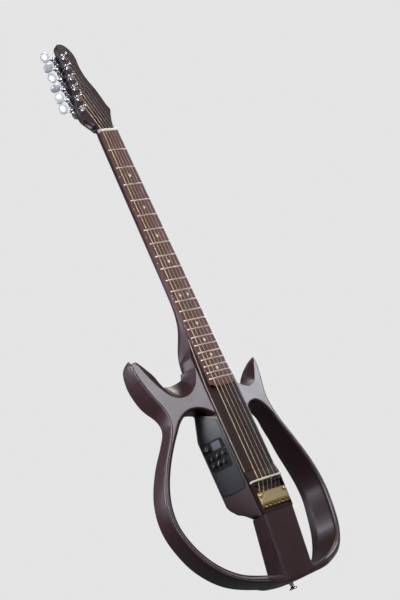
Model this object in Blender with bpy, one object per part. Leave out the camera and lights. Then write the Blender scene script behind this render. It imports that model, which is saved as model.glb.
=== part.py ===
"""Frame-bodied silent guitar, upright: neck up, strings towards -Y, bass side towards -X.

Shapes are laid out in the guitar's own measures, in millimetres: x across (treble positive),
s down the neck from the nut, h in front of the fretboard's playing surface.
The function place() turns them into metres in the world, whose origin is the middle of the
tail strap button's end face.
"""

import math

import bmesh
import bpy
from mathutils import Vector

MM = 0.001
GAP = 0.3                 # clearance between pieces that touch

# Strings and fretboard
SCALE_LENGTH = 650.0
STRING_COUNT = 6
NUT_WIDTH = 43.0
LAST_FRET = 22
WIDTH_AT_LAST_FRET = 57.8
BOARD_PAST_FRETS = 10.4
FRETBOARD_LENGTH = SCALE_LENGTH * (1 - 2 ** (-LAST_FRET / 12)) + BOARD_PAST_FRETS
FRETBOARD_THICK = 6.0
FRET_WIDE = 2.2
FRET_HIGH = 1.0
NUT_THICK = 5.0
NUT_TOP = 1.1
NUT_STRING_SPREAD = 36.5
SADDLE_STRING_SPREAD = 52.5
STRING_RADII = (0.66, 0.54, 0.42, 0.33, 0.21, 0.17)

# Neck and head
NECK_DEPTH = 21.0
HEEL_START = SCALE_LENGTH - 315.0
NECK_END = SCALE_LENGTH - 210.0
HEEL_DEPTH = 58.0
HEAD_TILT = math.radians(12.5)
HEAD_DROP = 4.0           # head face below the playing surface at the nut
HEAD_THICK = 11.0
ROD_RADIUS = 3.0
ROD_LENGTH = SCALE_LENGTH - 300.0
TUNER_FIRST = (-23.0, 55.3)   # x and distance along the head of the lowest string's post
TUNER_STEP = (7.9, 23.9)
POST_RADIUS = 3.0
POST_HIGH = 12.0
WRAP_RADIUS = 4.0
WRAP_LOW = 2.6
WRAP_HIGH = 7.4
HOUSING_LONG = 16.0       # from behind the post out towards the button
HOUSING_WIDE = 19.0       # along the row of posts
HOUSING_DEEP = 10.0
WORM_OFFSET = 8.0         # shaft beside the post, towards the head's tip
BUTTON_REACH = 26.3       # post axis to the middle of the button
BUTTON_RADIUS = 9.6
BUTTON_THICK = 6.6
BUTTON_SHAFT = 2.0
RUNNING_GAP = 0.4

# Body
ROOF_TILT = math.radians(15.5)   # slope of the wings away from the middle
ROOF_TOP = 10.0                  # wing face below the playing surface at the plate's edge
CORE_HALF = 38.4
FLAT_HALF = 76.0                 # the hoop stops sloping inside this half width at the tail
RIM_THICK = 4.0
LINING_THICK = 8.0
LINING_BEVEL = 5.0
WING_DEPTH = 42.0
CORE_FRONT = 10.8
CORE_DEPTH = 64.0
CORE_END = SCALE_LENGTH + 56.0
CORE_BLEND = 40.0                # length over which the core grows out of the neck's heel
CORE_DRAW = 10.0                 # how far the core's back corners are drawn in at the heel
CORE_RISE = 18.0                 # and how far its sides are cut up there
PLATE_START = SCALE_LENGTH - 258.0
PLATE_END = SCALE_LENGTH - 19.0
PLATE_HALF = 38.0
PLATE_BESIDE_BOARD = 1.8         # the plate's upper end is so much wider than the fretboard on each side
PLATE_SHOULDER = SCALE_LENGTH - 175.0   # from here down the plate has its full width
PLATE_TOP = 6.3
PLATE_THICK = 4.0

# Bridge and tailpiece
BRIDGE_HALF = 37.5
BRIDGE_TOP = 3.0
RECESS_START = SCALE_LENGTH + 8.0
RECESS_FLOOR = 9.0
SADDLE_THICK = 3.0
SADDLE_LONG = 74.0
SADDLE_TOP = 3.6
PICKUP_THICK = 1.2
TAILPIECE_START = SCALE_LENGTH + 21.0
TAILPIECE_LONG = 27.0
TAILPIECE_HALF = 35.0
TAILPIECE_THICK = 6.2
NOTCH_WIDE = 5.0
NOTCH_LONG = 5.0
STRING_HOLE = 1.1
BALL_RADIUS = 1.9
SCREW_HEAD = 3.2

# Lower beam
BEAM_START_HALF = 37.5
BEAM_END_HALF = 36.0
BEAM_START_FRONT = 5.5
BEAM_END_FRONT = 20.0
BEAM_START_DEPTH = 35.5
BEAM_END_DEPTH = 46.0

# Control panel: a plane that leans out from the plate's edge to the pod's back corner
PANEL_FRONT = (-38.5, -13.0)     # x and h of its front edge
PANEL_LEAN = math.atan2(20.5, 46.0)
PANEL_WIDE = 48.0
PANEL_TOP = SCALE_LENGTH - 135.5
PANEL_TOP_WIDE = 34.5
PANEL_SHOULDER = PANEL_TOP + 39.5    # below this the panel has its full width
PANEL_BOTTOM = SCALE_LENGTH + 5.0
PANEL_THICK = 3.2
BAY_DEEP = 1.2
POD_TAIL = PANEL_BOTTOM + 15.0          # from here down the pod draws in to the beam
# How far the pod reaches across the panel's plane, and how deep its back lies, against s
POD_REACH = ((PANEL_TOP, PANEL_TOP_WIDE + 1), (PANEL_SHOULDER, PANEL_WIDE), (POD_TAIL, PANEL_WIDE),
             (POD_TAIL + 7, PANEL_WIDE - 3), (POD_TAIL + 18, PANEL_WIDE - 12),
             (POD_TAIL + 27, PANEL_WIDE - 29), (CORE_END, 1.5))
POD_BACK = ((NECK_END, HEEL_DEPTH), (NECK_END + CORE_BLEND, CORE_DEPTH), (POD_TAIL + 6, CORE_DEPTH),
            (POD_TAIL + 20, CORE_DEPTH - 7), (POD_TAIL + 30, CORE_DEPTH - 17),
            (CORE_END, BEAM_START_FRONT + BEAM_START_DEPTH))
POD_UNDERCUT = 1.16       # slope of the pod's side, in under the panel
POD_RISE = 2.5            # the pod starts so far above the panel
POD_SLANT = 17.5          # how much lower the pod starts beside the plate than at its back corner
BOARD_DEEP = 10.0
BOARD_THICK = 1.6
POCKET_SIDE = 4.0         # board pocket inside the panel's sides
# Places on the panel: in from its back edge, and down from its shoulder
SMALL_KNOBS = ((11.9, 34.5), (23.0, 33.5), (34.1, 32.8), (10.5, 46.4), (20.2, 46.4), (29.9, 46.4))
SMALL_KNOB_RADIUS = 3.1
SMALL_KNOB_HIGH = 5.5
VOLUME_KNOB = (11.0, 16.6)
VOLUME_KNOB_RADIUS = 5.4
VOLUME_KNOB_HIGH = 8.0
KNOB_SHAFT = 1.4
DISPLAY = (27.6, 16.4, 17.0, 14.0)      # middle in and down, width, height
SWITCH = (19.6, 54.0)
SWITCH_SLOT = 12.0

# Back of the pod
BATTERY = (26.5, 17.5, 48.5)            # across, deep, along
BATTERY_MIDDLE = (-12.0, SCALE_LENGTH - 65.0)
COVER_THICK = 2.4
COVER_MARGIN = 4.0
HINGE_RADIUS = 1.5
JACK_RADIUS = 7.0
JACK_BORE = 3.4
JACK_LONG = 22.0
JACKS_DOWN = SCALE_LENGTH + 12.0
JACKS = (("output_jack", -30.0), ("headphone_jack", -6.0))
STRAP_RADIUS = 7.0
STRAP_HIGH = 12.0
HEEL_BUTTON = SCALE_LENGTH - 155.0      # place of the second strap button down the back

TAIL_REACH = 170.0                      # lowest point of the hoop, below the saddle
TAIL = SCALE_LENGTH + TAIL_REACH
BUTTON_BEHIND = 28.0                    # strap button's axis behind the beam's front corner
NUT_Z = TAIL + STRAP_HIGH               # height of the nut over the origin, the tail button's end
NUT_Y = -(BEAM_END_FRONT + BUTTON_BEHIND)   # playing surface in front of that button's axis

# Half outlines of the body: u out over the sloping face from the middle, and down from the saddle
BASS_OUTLINE = ((150, -254), (152, -244), (149, -220), (140, -188), (128.5, -158), (128, -133),
                (141, -109), (166.5, -73), (188.5, -30), (197, 12), (191, 52), (168, 99), (128, 138),
                (71, 162), (30, TAIL_REACH - 1.5), (0, TAIL_REACH))
TREBLE_OUTLINE = ((151, -213), (150.5, -196), (144, -175), (133, -147), (132, -126), (142, -98),
                  (165, -60), (187, -20), (198, 18), (197.5, 56), (181, 108), (142.5, 146), (77, 166),
                  (30, TAIL_REACH - 0.2), (0, TAIL_REACH))
BASS_SCOOP = ((143, -252), (136, -244), (129, -225), (116, -197), (100, -176), (80, -169.5), (60, -176),
              (46, -193), (38.7, -213))
TREBLE_SCOOP = ((146, -210), (138, -203), (126, -187), (110, -170), (86, -161.5), (65, -163), (50, -168),
                (38.7, -174))
BASS_OPENING = ((118, -116), (105, -130.5), (90, -141), (75, -144.5), (60, -141.5), (46, -132),
                (38.7, -125))
TREBLE_OPENING = ((121, -109), (108, -122), (94, -130.5), (80, -133.5), (62, -131.5), (48, -125),
                  (38.7, -118))
# Depth of the hoop against the distance down from the saddle
BASS_RIM_DEPTH = ((-254, 14), (-250, 23), (-238, 36), (-210, 48), (-175, 50), (-150, 38), (-128, 33),
                  (-90, 40), (-40, 45), (40, 46), (110, 50), (180, 50))
TREBLE_RIM_DEPTH = ((-213, 5), (-209, 15), (-202, 25), (-194, 34), (-180, 42), (-155, 40), (-120, 34),
                    (-85, 40), (-35, 49), (40, 52), (90, 56), (140, 57), (168, 50), (180, 50))
# Depth of the front piece in a horn against the distance down from the horn's tip
HORN_DEPTH = ((0, 10), (28, 16), (52, 28), (84, 42))
HORN_ROOT = 90.0          # half width where the horns begin
BASS_SCOOP_LEAN = 34.0    # how far up the back edge of a scoop lies above its front edge
TREBLE_SCOOP_LEAN = 10.0
HEAD_OUTLINE = ((-21.5, 6.5), (-26, 15), (-37.5, 31), (-34.5, 51), (-19.5, 82), (-9.3, 109), (0.5, 137),
                (9, 163), (12.5, 186), (17, 201), (26, 208.5), (37, 206), (43.5, 198), (47, 186),
                (46.5, 172), (41, 156), (38, 138), (38.3, 119), (42, 100), (42.5, 78), (42, 62),
                (44.8, 51), (37, 38.5), (27, 21), (21.5, 6.5))


def place(x, s, h):
    """World position in metres of a point given in the guitar's own measures."""
    return Vector((x, NUT_Y - h, NUT_Z - s)) * MM


def on_body(points):
    """Points of a body outline, whose places down are measured from the saddle."""
    return tuple((u, SCALE_LENGTH + down) for u, down in points)


def between(table, s):
    """Straight-line reading of a table of (s, value) pairs."""
    for (s0, v0), (s1, v1) in zip(table, table[1:]):
        if s <= s1:
            return v0 + (v1 - v0) * max(0.0, s - s0) / (s1 - s0)
    return table[-1][1]


def smooth_path(points, steps):
    """Catmull-Rom curve through the points, with so many steps between each two."""
    first = [2 * a - b for a, b in zip(points[0], points[1])]
    last = [2 * a - b for a, b in zip(points[-1], points[-2])]
    line = [first, *points, last]
    path = []
    for i in range(1, len(line) - 2):
        p0, p1, p2, p3 = (Vector(line[i + k]) for k in (-1, 0, 1, 2))
        for k in range(steps):
            t = k / steps
            path.append(0.5 * (2 * p1 + (p2 - p0) * t + (2 * p0 - 5 * p1 + 4 * p2 - p3) * t * t
                               + (3 * p1 - p0 - 3 * p2 + p3) * t ** 3))
    path.append(Vector(points[-1]))
    return path


def offset_path(path, distance):
    """The path moved inwards, towards the middle of the body."""
    moved = []
    for i, point in enumerate(path):
        along = path[min(i + 1, len(path) - 1)] - path[max(i - 1, 0)]
        inward = Vector((-along.y, along.x)).normalized()
        if i == len(path) - 1:
            inward = Vector((0.0, -1.0))
        moved.append(point + inward * distance)
    return moved


def fold(side, u, s, depth, hoop=False):
    """Point at (u, s) on the sloping face, so deep under it. At the tail the hoop lies flat."""
    reach = max(u, FLAT_HALF) if hoop else u
    tilt = ROOF_TILT
    if hoop and u < FLAT_HALF:
        tilt = ROOF_TILT * u / FLAT_HALF
    out = max(u - CORE_HALF, 0.0)
    x = min(u, CORE_HALF) + out * math.cos(ROOF_TILT) - depth * math.sin(tilt)
    if not hoop:
        x = max(x, CORE_HALF + GAP)
    h = -ROOF_TOP - (reach - CORE_HALF) * math.sin(ROOF_TILT) - depth * math.cos(tilt)
    return (side * x, s, h)


def head_point(x, along, out):
    """Point over the head: so far along its face from the nut, and so far in front of it."""
    return (x, -along * math.cos(HEAD_TILT) - out * math.sin(HEAD_TILT),
            -HEAD_DROP - along * math.sin(HEAD_TILT) + out * math.cos(HEAD_TILT))


def panel_point(across, s, out):
    """Point over the control panel: across from its front edge, and so far out of its face."""
    x, h = PANEL_FRONT
    return (x - across * math.sin(PANEL_LEAN) - out * math.cos(PANEL_LEAN), s,
            h - across * math.cos(PANEL_LEAN) + out * math.sin(PANEL_LEAN))


def finish(name, world_points, faces, material, origin=None, sharp=35.0):
    """Closed object from world points, with its normals out and its origin where it turns."""
    centre = Vector(origin) if origin is not None else Vector((0.0, 0.0, 0.0))
    mesh = bpy.data.meshes.new(name)
    mesh.from_pydata([point - centre for point in world_points], [], faces)
    shape = bmesh.new()
    shape.from_mesh(mesh)
    bmesh.ops.remove_doubles(shape, verts=shape.verts, dist=1e-6)
    bmesh.ops.recalc_face_normals(shape, faces=shape.faces)
    shape.to_mesh(mesh)
    shape.free()
    mesh.shade_smooth()
    mesh.set_sharp_from_angle(angle=math.radians(sharp))
    mesh.materials.append(material)
    obj = bpy.data.objects.new(name, mesh)
    obj.location = centre
    bpy.context.scene.collection.objects.link(obj)
    return obj


def loft(name, rings, material, origin=None):
    """Skin over rings of equally many points, closed by a flat face at each end."""
    count = len(rings[0])
    points = [place(*point) for ring in rings for point in ring]
    faces = [tuple(range(count)), tuple(reversed(range((len(rings) - 1) * count, len(rings) * count)))]
    for i in range(len(rings) - 1):
        for k in range(count):
            a = i * count + k
            b = i * count + (k + 1) % count
            faces.append((a, b, b + count, a + count))
    return finish(name, points, faces, material, origin)


def bar(name, profile, left, right, material, x=0.0):
    """A side profile of (s, h) points carried across from x + left to x + right."""
    return loft(name, [[(x + edge, s, h) for s, h in profile] for edge in (left, right)], material)


def turned(name, at, profile, material, origin=None, segments=16):
    """Round piece: profile of (radius, distance) pairs, and at(a, b, distance) places its points."""
    rings = []
    for radius, distance in profile:
        ring = []
        for k in range(segments):
            turn = 2 * math.pi * k / segments
            ring.append(at(radius * math.cos(turn), radius * math.sin(turn), distance))
        rings.append(ring)
    return loft(name, rings, material, origin)


def over_head(x, along):
    return lambda a, b, out: head_point(x + a, along + b, out)


def over_panel(across, s):
    return lambda a, b, out: panel_point(across + a, s + b, out)


def over_back(x, s):
    return lambda a, b, out: (x + a, s + b, -CORE_DEPTH - out)


def cut(target, cutter, operation="DIFFERENCE"):
    """Applies the cutter to the target and hides it."""
    modifier = target.modifiers.new(cutter.name, "BOOLEAN")
    modifier.operation = operation
    modifier.solver = "EXACT"
    modifier.object = cutter
    cutter.hide_render = True
    cutter.display_type = "WIRE"


def paint(name, colour, roughness, metallic=0.0):
    material = bpy.data.materials.new(name)
    material.use_nodes = True
    shader = material.node_tree.nodes["Principled BSDF"]
    shader.inputs["Base Color"].default_value = (*colour, 1.0)
    shader.inputs["Roughness"].default_value = roughness
    shader.inputs["Metallic"].default_value = metallic
    return material


def fret_place(number):
    return SCALE_LENGTH * (1 - 2 ** (-number / 12))


def board_half(s):
    """Half width of the fretboard."""
    grow = (WIDTH_AT_LAST_FRET - NUT_WIDTH) / (2 * fret_place(LAST_FRET))
    return NUT_WIDTH / 2 + grow * s


def string_x(index, s):
    """Place of a string across the guitar."""
    share = index / (STRING_COUNT - 1) - 0.5
    return share * (NUT_STRING_SPREAD + (SADDLE_STRING_SPREAD - NUT_STRING_SPREAD) * s / SCALE_LENGTH)


def tuner_place(index):
    return (TUNER_FIRST[0] + TUNER_STEP[0] * index, TUNER_FIRST[1] + TUNER_STEP[1] * index)


def make_fretboard(material):
    """Tapering board whose top profile rises over each fret."""
    top = [(GAP, 0.0)]
    for number in range(1, LAST_FRET + 1):
        middle = fret_place(number)
        for step, rise in ((-0.5, 0.0), (-0.28, 1.0), (0.28, 1.0), (0.5, 0.0)):
            top.append((middle + step * FRET_WIDE, rise * FRET_HIGH))
    top.append((FRETBOARD_LENGTH, 0.0))
    outline = [*top, (FRETBOARD_LENGTH, -FRETBOARD_THICK), (GAP, -FRETBOARD_THICK)]
    rings = [[(side * board_half(s), s, h) for s, h in outline] for side in (-1, 1)]
    return loft("fretboard", rings, material)


def make_neck(material):
    """Rounded neck that deepens into the heel, joined to the tilted head, with the rod's channel."""
    seat = -FRETBOARD_THICK - GAP
    stations = ((-16, 15.0, 1.0), (-5, 18.5, 1.0), (10, NECK_DEPTH, 1.0), (120, NECK_DEPTH + 1.2, 1.0),
                (HEEL_START - 35, NECK_DEPTH + 2.8, 1.0), (HEEL_START, NECK_DEPTH + 4.5, 0.95),
                (NECK_END - 80, HEEL_DEPTH - 26, 0.85), (NECK_END - 60, HEEL_DEPTH - 17, 0.75),
                (NECK_END - 40, HEEL_DEPTH - 8, 0.65), (NECK_END - 20, HEEL_DEPTH - 2.5, 0.6),
                (NECK_END, HEEL_DEPTH, 0.55))
    rings = []
    for s, deep, square in stations:
        half = board_half(max(s, 0)) if s > -10 else NUT_WIDTH / 2 - 1
        top = seat if s > -10 else -HEAD_DROP - 5.5
        ring = []
        for k in range(13):
            turn = math.pi * k / 12
            wide = math.copysign(abs(math.cos(turn)) ** square, math.cos(turn))
            ring.append((half * wide, s, top - (deep + top) * math.sin(turn) ** square))
        rings.append(ring)
    neck = loft("neck", rings, material)
    head = loft("head_blank", [[head_point(x, along, out) for x, along in HEAD_OUTLINE]
                               for out in (0.0, -HEAD_THICK)], material)
    cut(neck, head, "UNION")
    step = bar("plate_step", ((PLATE_START - GAP, 0), (NECK_END + 5, 0), (NECK_END + 5, -CORE_FRONT),
                              (PLATE_START - GAP, -CORE_FRONT)), -60, 60, material)
    cut(neck, step)
    reach = ROD_RADIUS + GAP
    channel = bar("rod_channel", ((8, 0), (ROD_LENGTH + 12, 0), (ROD_LENGTH + 12, seat - 2 * reach),
                                  (8, seat - 2 * reach)), -reach, reach, material)
    cut(neck, channel)
    for index in range(STRING_COUNT):
        x, along = tuner_place(index)
        radius = POST_RADIUS + RUNNING_GAP
        hole = turned(f"post_hole_{index + 1}", over_head(x, along),
                      ((radius, 5), (radius, -HEAD_THICK - 5)), material, segments=16)
        cut(neck, hole)
    return neck


def make_head_fittings(cover_material, bone, steel):
    outline = ((-9, 11), (-9.5, 20), (-7.5, 30), (-4.5, 40), (0, 46), (4.5, 40), (7.5, 30), (9.5, 20),
               (9, 11))
    loft("truss_rod_cover", [[head_point(x, along, out) for x, along in outline]
                             for out in (GAP, GAP + 1.6)], cover_material)
    bar("nut", ((-NUT_THICK, -FRETBOARD_THICK), (0, -FRETBOARD_THICK), (0, NUT_TOP),
                (-NUT_THICK, NUT_TOP - 1.0)), -NUT_WIDTH / 2, NUT_WIDTH / 2, bone)
    middle = -FRETBOARD_THICK - 2 * GAP - ROD_RADIUS
    turned("truss_rod", lambda a, b, s: (a, s, middle + b),
           ((ROD_RADIUS, 10), (ROD_RADIUS, 10 + ROD_LENGTH)), steel, segments=12)


def make_tuner(index, chrome, gold):
    """One machine head: a housing behind the head, a post through it and a button at its side."""
    x, along = tuner_place(index)
    line = Vector(TUNER_STEP).normalized()
    out_way = Vector((-line.y, line.x))
    floor = -HEAD_THICK - GAP
    middle = floor - HOUSING_DEEP / 2

    def at(away, beside, out):
        """Point so far out towards the bass side and so far along the row of posts."""
        spot = Vector((x, along)) + out_way * away + line * beside
        return head_point(spot.x, spot.y, out)

    back, front = -7.0, -7.0 + HOUSING_LONG
    low, high = -HOUSING_WIDE / 2 + 2, HOUSING_WIDE / 2 + 2
    corner = 3.0
    outline = ((back, low + corner), (back + corner, low), (front - corner, low), (front, low + corner),
               (front, high - corner), (front - corner, high), (back + corner, high),
               (back, high - corner))
    housing = loft(f"tuner_housing_{index + 1}",
                   [[at(away, beside, floor) for away, beside in outline],
                    [at(away, beside, floor - HOUSING_DEEP + 2) for away, beside in outline],
                    [at(away * 0.86 + 0.2, 2 + (beside - 2) * 0.86, floor - HOUSING_DEEP)
                     for away, beside in outline]], chrome)
    bore = POST_RADIUS + RUNNING_GAP
    cut(housing, turned(f"post_bore_{index + 1}", at, ((bore, 2), (bore, floor - 4.0)), chrome,
                        segments=16))

    def along_shaft(a, b, away):
        return at(away, WORM_OFFSET + a, middle + b)

    side_bore = BUTTON_SHAFT + RUNNING_GAP
    cut(housing, turned(f"shaft_bore_{index + 1}", along_shaft,
                        ((side_bore, front - 3.5), (side_bore, front + 4)), chrome, segments=12))
    post = turned(f"tuner_post_{index + 1}", at,
                  ((POST_RADIUS, floor - 3.6), (POST_RADIUS, WRAP_LOW), (WRAP_RADIUS, WRAP_LOW + 0.3),
                   (WRAP_RADIUS, WRAP_HIGH), (POST_RADIUS - 0.5, WRAP_HIGH + 0.5),
                   (POST_RADIUS - 0.5, WRAP_HIGH + 2), (POST_RADIUS + 0.3, POST_HIGH - 1),
                   (POST_RADIUS - 0.6, POST_HIGH)), gold, origin=place(*at(0, 0, 0)))
    start = front - 3.1
    stations = ((start, 1.0, 1.0), (BUTTON_REACH - BUTTON_RADIUS, 1.0, 1.0), (-7.6, 0.55, 0.62),
                (-5.0, 0.84, 0.86), (-2.0, 0.97, 1.0), (1.5, 1.0, 1.0), (5.0, 0.84, 0.9),
                (7.6, 0.5, 0.6), (8.6, 0.2, 0.25))
    turn_by = math.radians((20, 35, 80, 15, 65, 25)[index])
    rings = []
    for k, (place_out, wide, thick) in enumerate(stations):
        shaft = k < 2
        away = place_out if shaft else BUTTON_REACH + place_out
        half_wide = BUTTON_SHAFT if shaft else BUTTON_RADIUS * wide
        half_thick = BUTTON_SHAFT if shaft else BUTTON_THICK / 2 * thick
        ring = []
        for j in range(16):
            turn = 2 * math.pi * j / 16
            a, b = half_wide * math.cos(turn), half_thick * math.sin(turn)
            ring.append(along_shaft(a * math.cos(turn_by) - b * math.sin(turn_by),
                                    a * math.sin(turn_by) + b * math.cos(turn_by), away))
        rings.append(ring)
    button = loft(f"tuner_button_{index + 1}", rings, chrome, origin=place(*at(front, WORM_OFFSET, middle)))
    return housing, post, button


def make_string(index, material):
    """A taut string: side of its post, over nut and saddle, through the tailpiece to its ball end."""
    radius = STRING_RADII[index]
    x_post, along = tuner_place(index)
    line = Vector(TUNER_STEP).normalized()
    reach = WRAP_RADIUS + GAP + radius
    touch = head_point(x_post + line.y * reach, along - line.x * reach, (WRAP_LOW + WRAP_HIGH) / 2)
    nut_h = NUT_TOP + GAP + radius
    saddle_h = SADDLE_TOP + GAP + radius
    hole_h = -RECESS_FLOOR + TAILPIECE_THICK / 2 + GAP
    end = TAILPIECE_START + TAILPIECE_LONG
    x_nut, x_saddle = string_x(index, 0), string_x(index, SCALE_LENGTH)
    track = ((*touch, radius), (x_nut, -NUT_THICK, nut_h - 0.4, radius), (x_nut, 0, nut_h, radius),
             (x_saddle, SCALE_LENGTH, saddle_h, radius),
             (x_saddle, SCALE_LENGTH + SADDLE_THICK / 2, saddle_h, radius),
             (x_saddle, TAILPIECE_START - 1.5, hole_h, radius),
             (x_saddle, end - NOTCH_LONG + 0.2, hole_h, radius),
             (x_saddle, end - NOTCH_LONG + 0.5, hole_h, BALL_RADIUS),
             (x_saddle, end - 0.8, hole_h, BALL_RADIUS))
    rings = []
    for i, (x, s, h, thick) in enumerate(track):
        ahead = Vector(track[min(i + 1, len(track) - 1)][:3])
        behind = Vector(track[max(i - 1, 0)][:3])
        way = (ahead - behind).normalized()
        if i >= 6:
            way = Vector((0, 1, 0))
        side = way.cross(Vector((0, 0, 1))).normalized()
        up = side.cross(way)
        rings.append([tuple(Vector((x, s, h)) + side * thick * math.cos(math.pi * k / 4)
                            + up * thick * math.sin(math.pi * k / 4)) for k in range(8)])
    return loft(f"string_{index + 1}", rings, material)


def make_rim(name, side, outline, depths, material):
    """The bent outer strip, from a horn's tip round to the middle of the tail."""
    path = smooth_path(on_body(outline), 4)
    inner = offset_path(path, RIM_THICK)
    rings = []
    for outer_point, inner_point in zip(path, inner):
        deep = between(depths, outer_point.y - SCALE_LENGTH)
        shift = GAP / 2 if outer_point is path[-1] else 0.0
        (u, s), (v, t) = outer_point, inner_point
        mid_u, mid_s = u + (v - u) * 0.45, s + (t - s) * 0.45
        u, v, mid_u = u + shift, v + shift, mid_u + shift
        rings.append([fold(side, v, t, 0, True), fold(side, mid_u, mid_s, 0, True),
                      fold(side, u, s, 2.0, True), fold(side, u, s, deep - 2.5, True),
                      fold(side, mid_u, mid_s, deep, True), fold(side, v, t, deep, True)])
    return loft(name, rings, material)


def wing_depth(u, s, tip_s, rim_depths=None):
    """Depth of the arm's wall at a point of its outline, thinner out in the horn and inside the hoop."""
    deep = WING_DEPTH if rim_depths is None else between(rim_depths, s - SCALE_LENGTH) - 1.0
    if u > HORN_ROOT:
        deep = min(deep, between(HORN_DEPTH, s - tip_s))
    return deep


def make_wing(name, side, outline, scoop, opening, rim_depths, scoop_lean, material):
    """Arm and horn of one side, running on as the lining inside the hoop down to the beam."""
    path = smooth_path(on_body(outline), 4)
    outer = offset_path(path, RIM_THICK + 2 * GAP)
    inner = offset_path(path, RIM_THICK + 2 * GAP + LINING_THICK)
    arch_foot = on_body(opening)[0]
    last = max(i for i, point in enumerate(inner) if point.x > BEAM_END_HALF + 9)
    foot = min(range(len(inner)), key=lambda i: (inner[i] - Vector(arch_foot)).length)
    rim_line = outer[1:last + 1]
    lining_line = list(reversed(inner[foot + 1:last + 1]))
    arch = smooth_path(on_body(opening), 3)
    bay = list(reversed(smooth_path(on_body(scoop), 3)))
    front = [*rim_line, *lining_line, *arch, *bay]
    scoop_first = len(rim_line) + len(lining_line) + len(arch)
    hoop_points = {*range(len(rim_line) + len(lining_line))}
    rings = [[], [], []]
    count = len(front)
    for i, (u, s) in enumerate(front):
        low = s > CORE_END - 6
        rear_u, rear_s = u, s
        if i >= scoop_first:
            share = (i - scoop_first) / (count - 1 - scoop_first)
            rear_s = s - scoop_lean * math.sin(math.pi * share) ** 0.8
        deep = wing_depth(u, s, path[0].y, rim_depths if i in hoop_points else None)
        inside = len(rim_line) <= i < scoop_first
        bevel = LINING_BEVEL if inside else 0.0
        rings[0].append(fold(side, *bevel_out(front, i, bevel), 0, low))
        rings[1].append(fold(side, u, s, bevel + 0.8, low))
        rings[2].append(fold(side, rear_u, rear_s, deep, low))
    return loft(name, rings, material)


def bevel_out(front, index, size):
    """Point of the outline moved into the piece by the bevel's size."""
    point = front[index]
    if size == 0.0:
        return point
    along = front[(index + 1) % len(front)] - front[index - 1]
    inward = Vector((-along.y, along.x)).normalized()
    return point + inward * size


def pod_section(s):
    """Cross-section of the core, which swells into the pod on the bass side behind the panel.

    The pod's upper end slants, following the arch of the opening over it.
    """
    grow = between(((PANEL_TOP - POD_RISE - 2, 0.0), (PANEL_TOP - POD_RISE, 1.0)), s)
    back = between(POD_BACK, s)
    face = panel_point(-1.5, s, 0.0)
    pod_x, _, pod_h = panel_point(between(POD_REACH, s), s, 0.0)
    pod_back_x = min(pod_x + POD_UNDERCUT * (pod_h + back), -30.0)
    x_foot = -CORE_HALF + (pod_x + CORE_HALF) * grow
    h_foot = -back + 5 + (pod_h + back - 5) * grow
    x_back = -CORE_HALF + 4 + (pod_back_x + CORE_HALF - 4) * grow
    front_s = s + POD_SLANT if abs(s - PANEL_TOP) < POD_SLANT else s
    side_s = front_s + (s - front_s) * grow
    heel = between(((NECK_END, 1.0), (NECK_END + CORE_BLEND, 0.0)), s)
    draw, rise = heel * CORE_DRAW, heel * CORE_RISE
    return [(-CORE_HALF, front_s, -CORE_FRONT), (-CORE_HALF, front_s, face[2]),
            (x_foot, side_s, h_foot + rise), (x_back + draw, side_s, -back),
            (CORE_HALF - 6 - draw, s, -back), (CORE_HALF, s, -back + 8 + rise), (CORE_HALF, s, -CORE_FRONT)]


def panel_outline(grow=0.0):
    """Outline of the control panel, as (across, s) points: narrower at its top, round at its foot."""
    wide, low, inner = PANEL_WIDE - 1.0 + grow, PANEL_BOTTOM + grow, 1.2 - grow
    return ((inner, PANEL_TOP + POD_SLANT - grow), (PANEL_TOP_WIDE + grow, PANEL_TOP - grow),
            (wide, PANEL_SHOULDER), (wide, low - 16), (wide - 4, low - 8), (wide - 12, low - 2),
            (wide - 22, low), (14, low), (5, low - 4), (inner, low - 10))


def pocket_outline(clear=0.0):
    """Outline of the board's pocket behind the panel, or of the board with its clearance."""
    left, right = POCKET_SIDE + clear, PANEL_WIDE - 1 - POCKET_SIDE - clear
    top, bottom = PANEL_SHOULDER + 2 + clear, PANEL_BOTTOM - 15 - clear
    return ((left, top), (right, top), (right, bottom), (left, bottom))


def make_core(material):
    core = loft("core_body", [pod_section(s) for s in
                              (NECK_END + GAP, NECK_END + CORE_BLEND, PANEL_TOP - POD_RISE - 2, PANEL_TOP - POD_RISE,
                               PANEL_SHOULDER,
                               POD_TAIL, POD_TAIL + 7, POD_TAIL + 12, POD_TAIL + 18, POD_TAIL + 22,
                               POD_TAIL + 27, POD_TAIL + 31, CORE_END)],
                material)
    seat = loft("panel_seat", [[panel_point(a, s, out) for a, s in panel_outline(GAP)]
                               for out in (6.0, -PANEL_THICK - GAP)], material)
    cut(core, seat)
    pocket = loft("board_pocket", [[panel_point(a, s, out) for a, s in pocket_outline()]
                                   for out in (2.0, -BOARD_DEEP - BOARD_THICK - GAP)], material)
    cut(core, pocket)
    wide, deep, long = (size / 2 + 0.5 for size in BATTERY)
    x, s = BATTERY_MIDDLE
    box = bar("battery_pocket", ((s - long, -CORE_DEPTH - 5), (s + long, -CORE_DEPTH - 5),
                                 (s + long, -CORE_DEPTH + 2 * deep), (s - long, -CORE_DEPTH + 2 * deep)),
              -wide, wide, material, x=x)
    cut(core, box)
    for name, x in JACKS:
        radius = JACK_RADIUS + GAP
        cut(core, turned(name + "_hole", over_back(x, JACKS_DOWN), ((radius, 3), (radius, -JACK_LONG - 1)),
                         material, segments=20))
    return core


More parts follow.
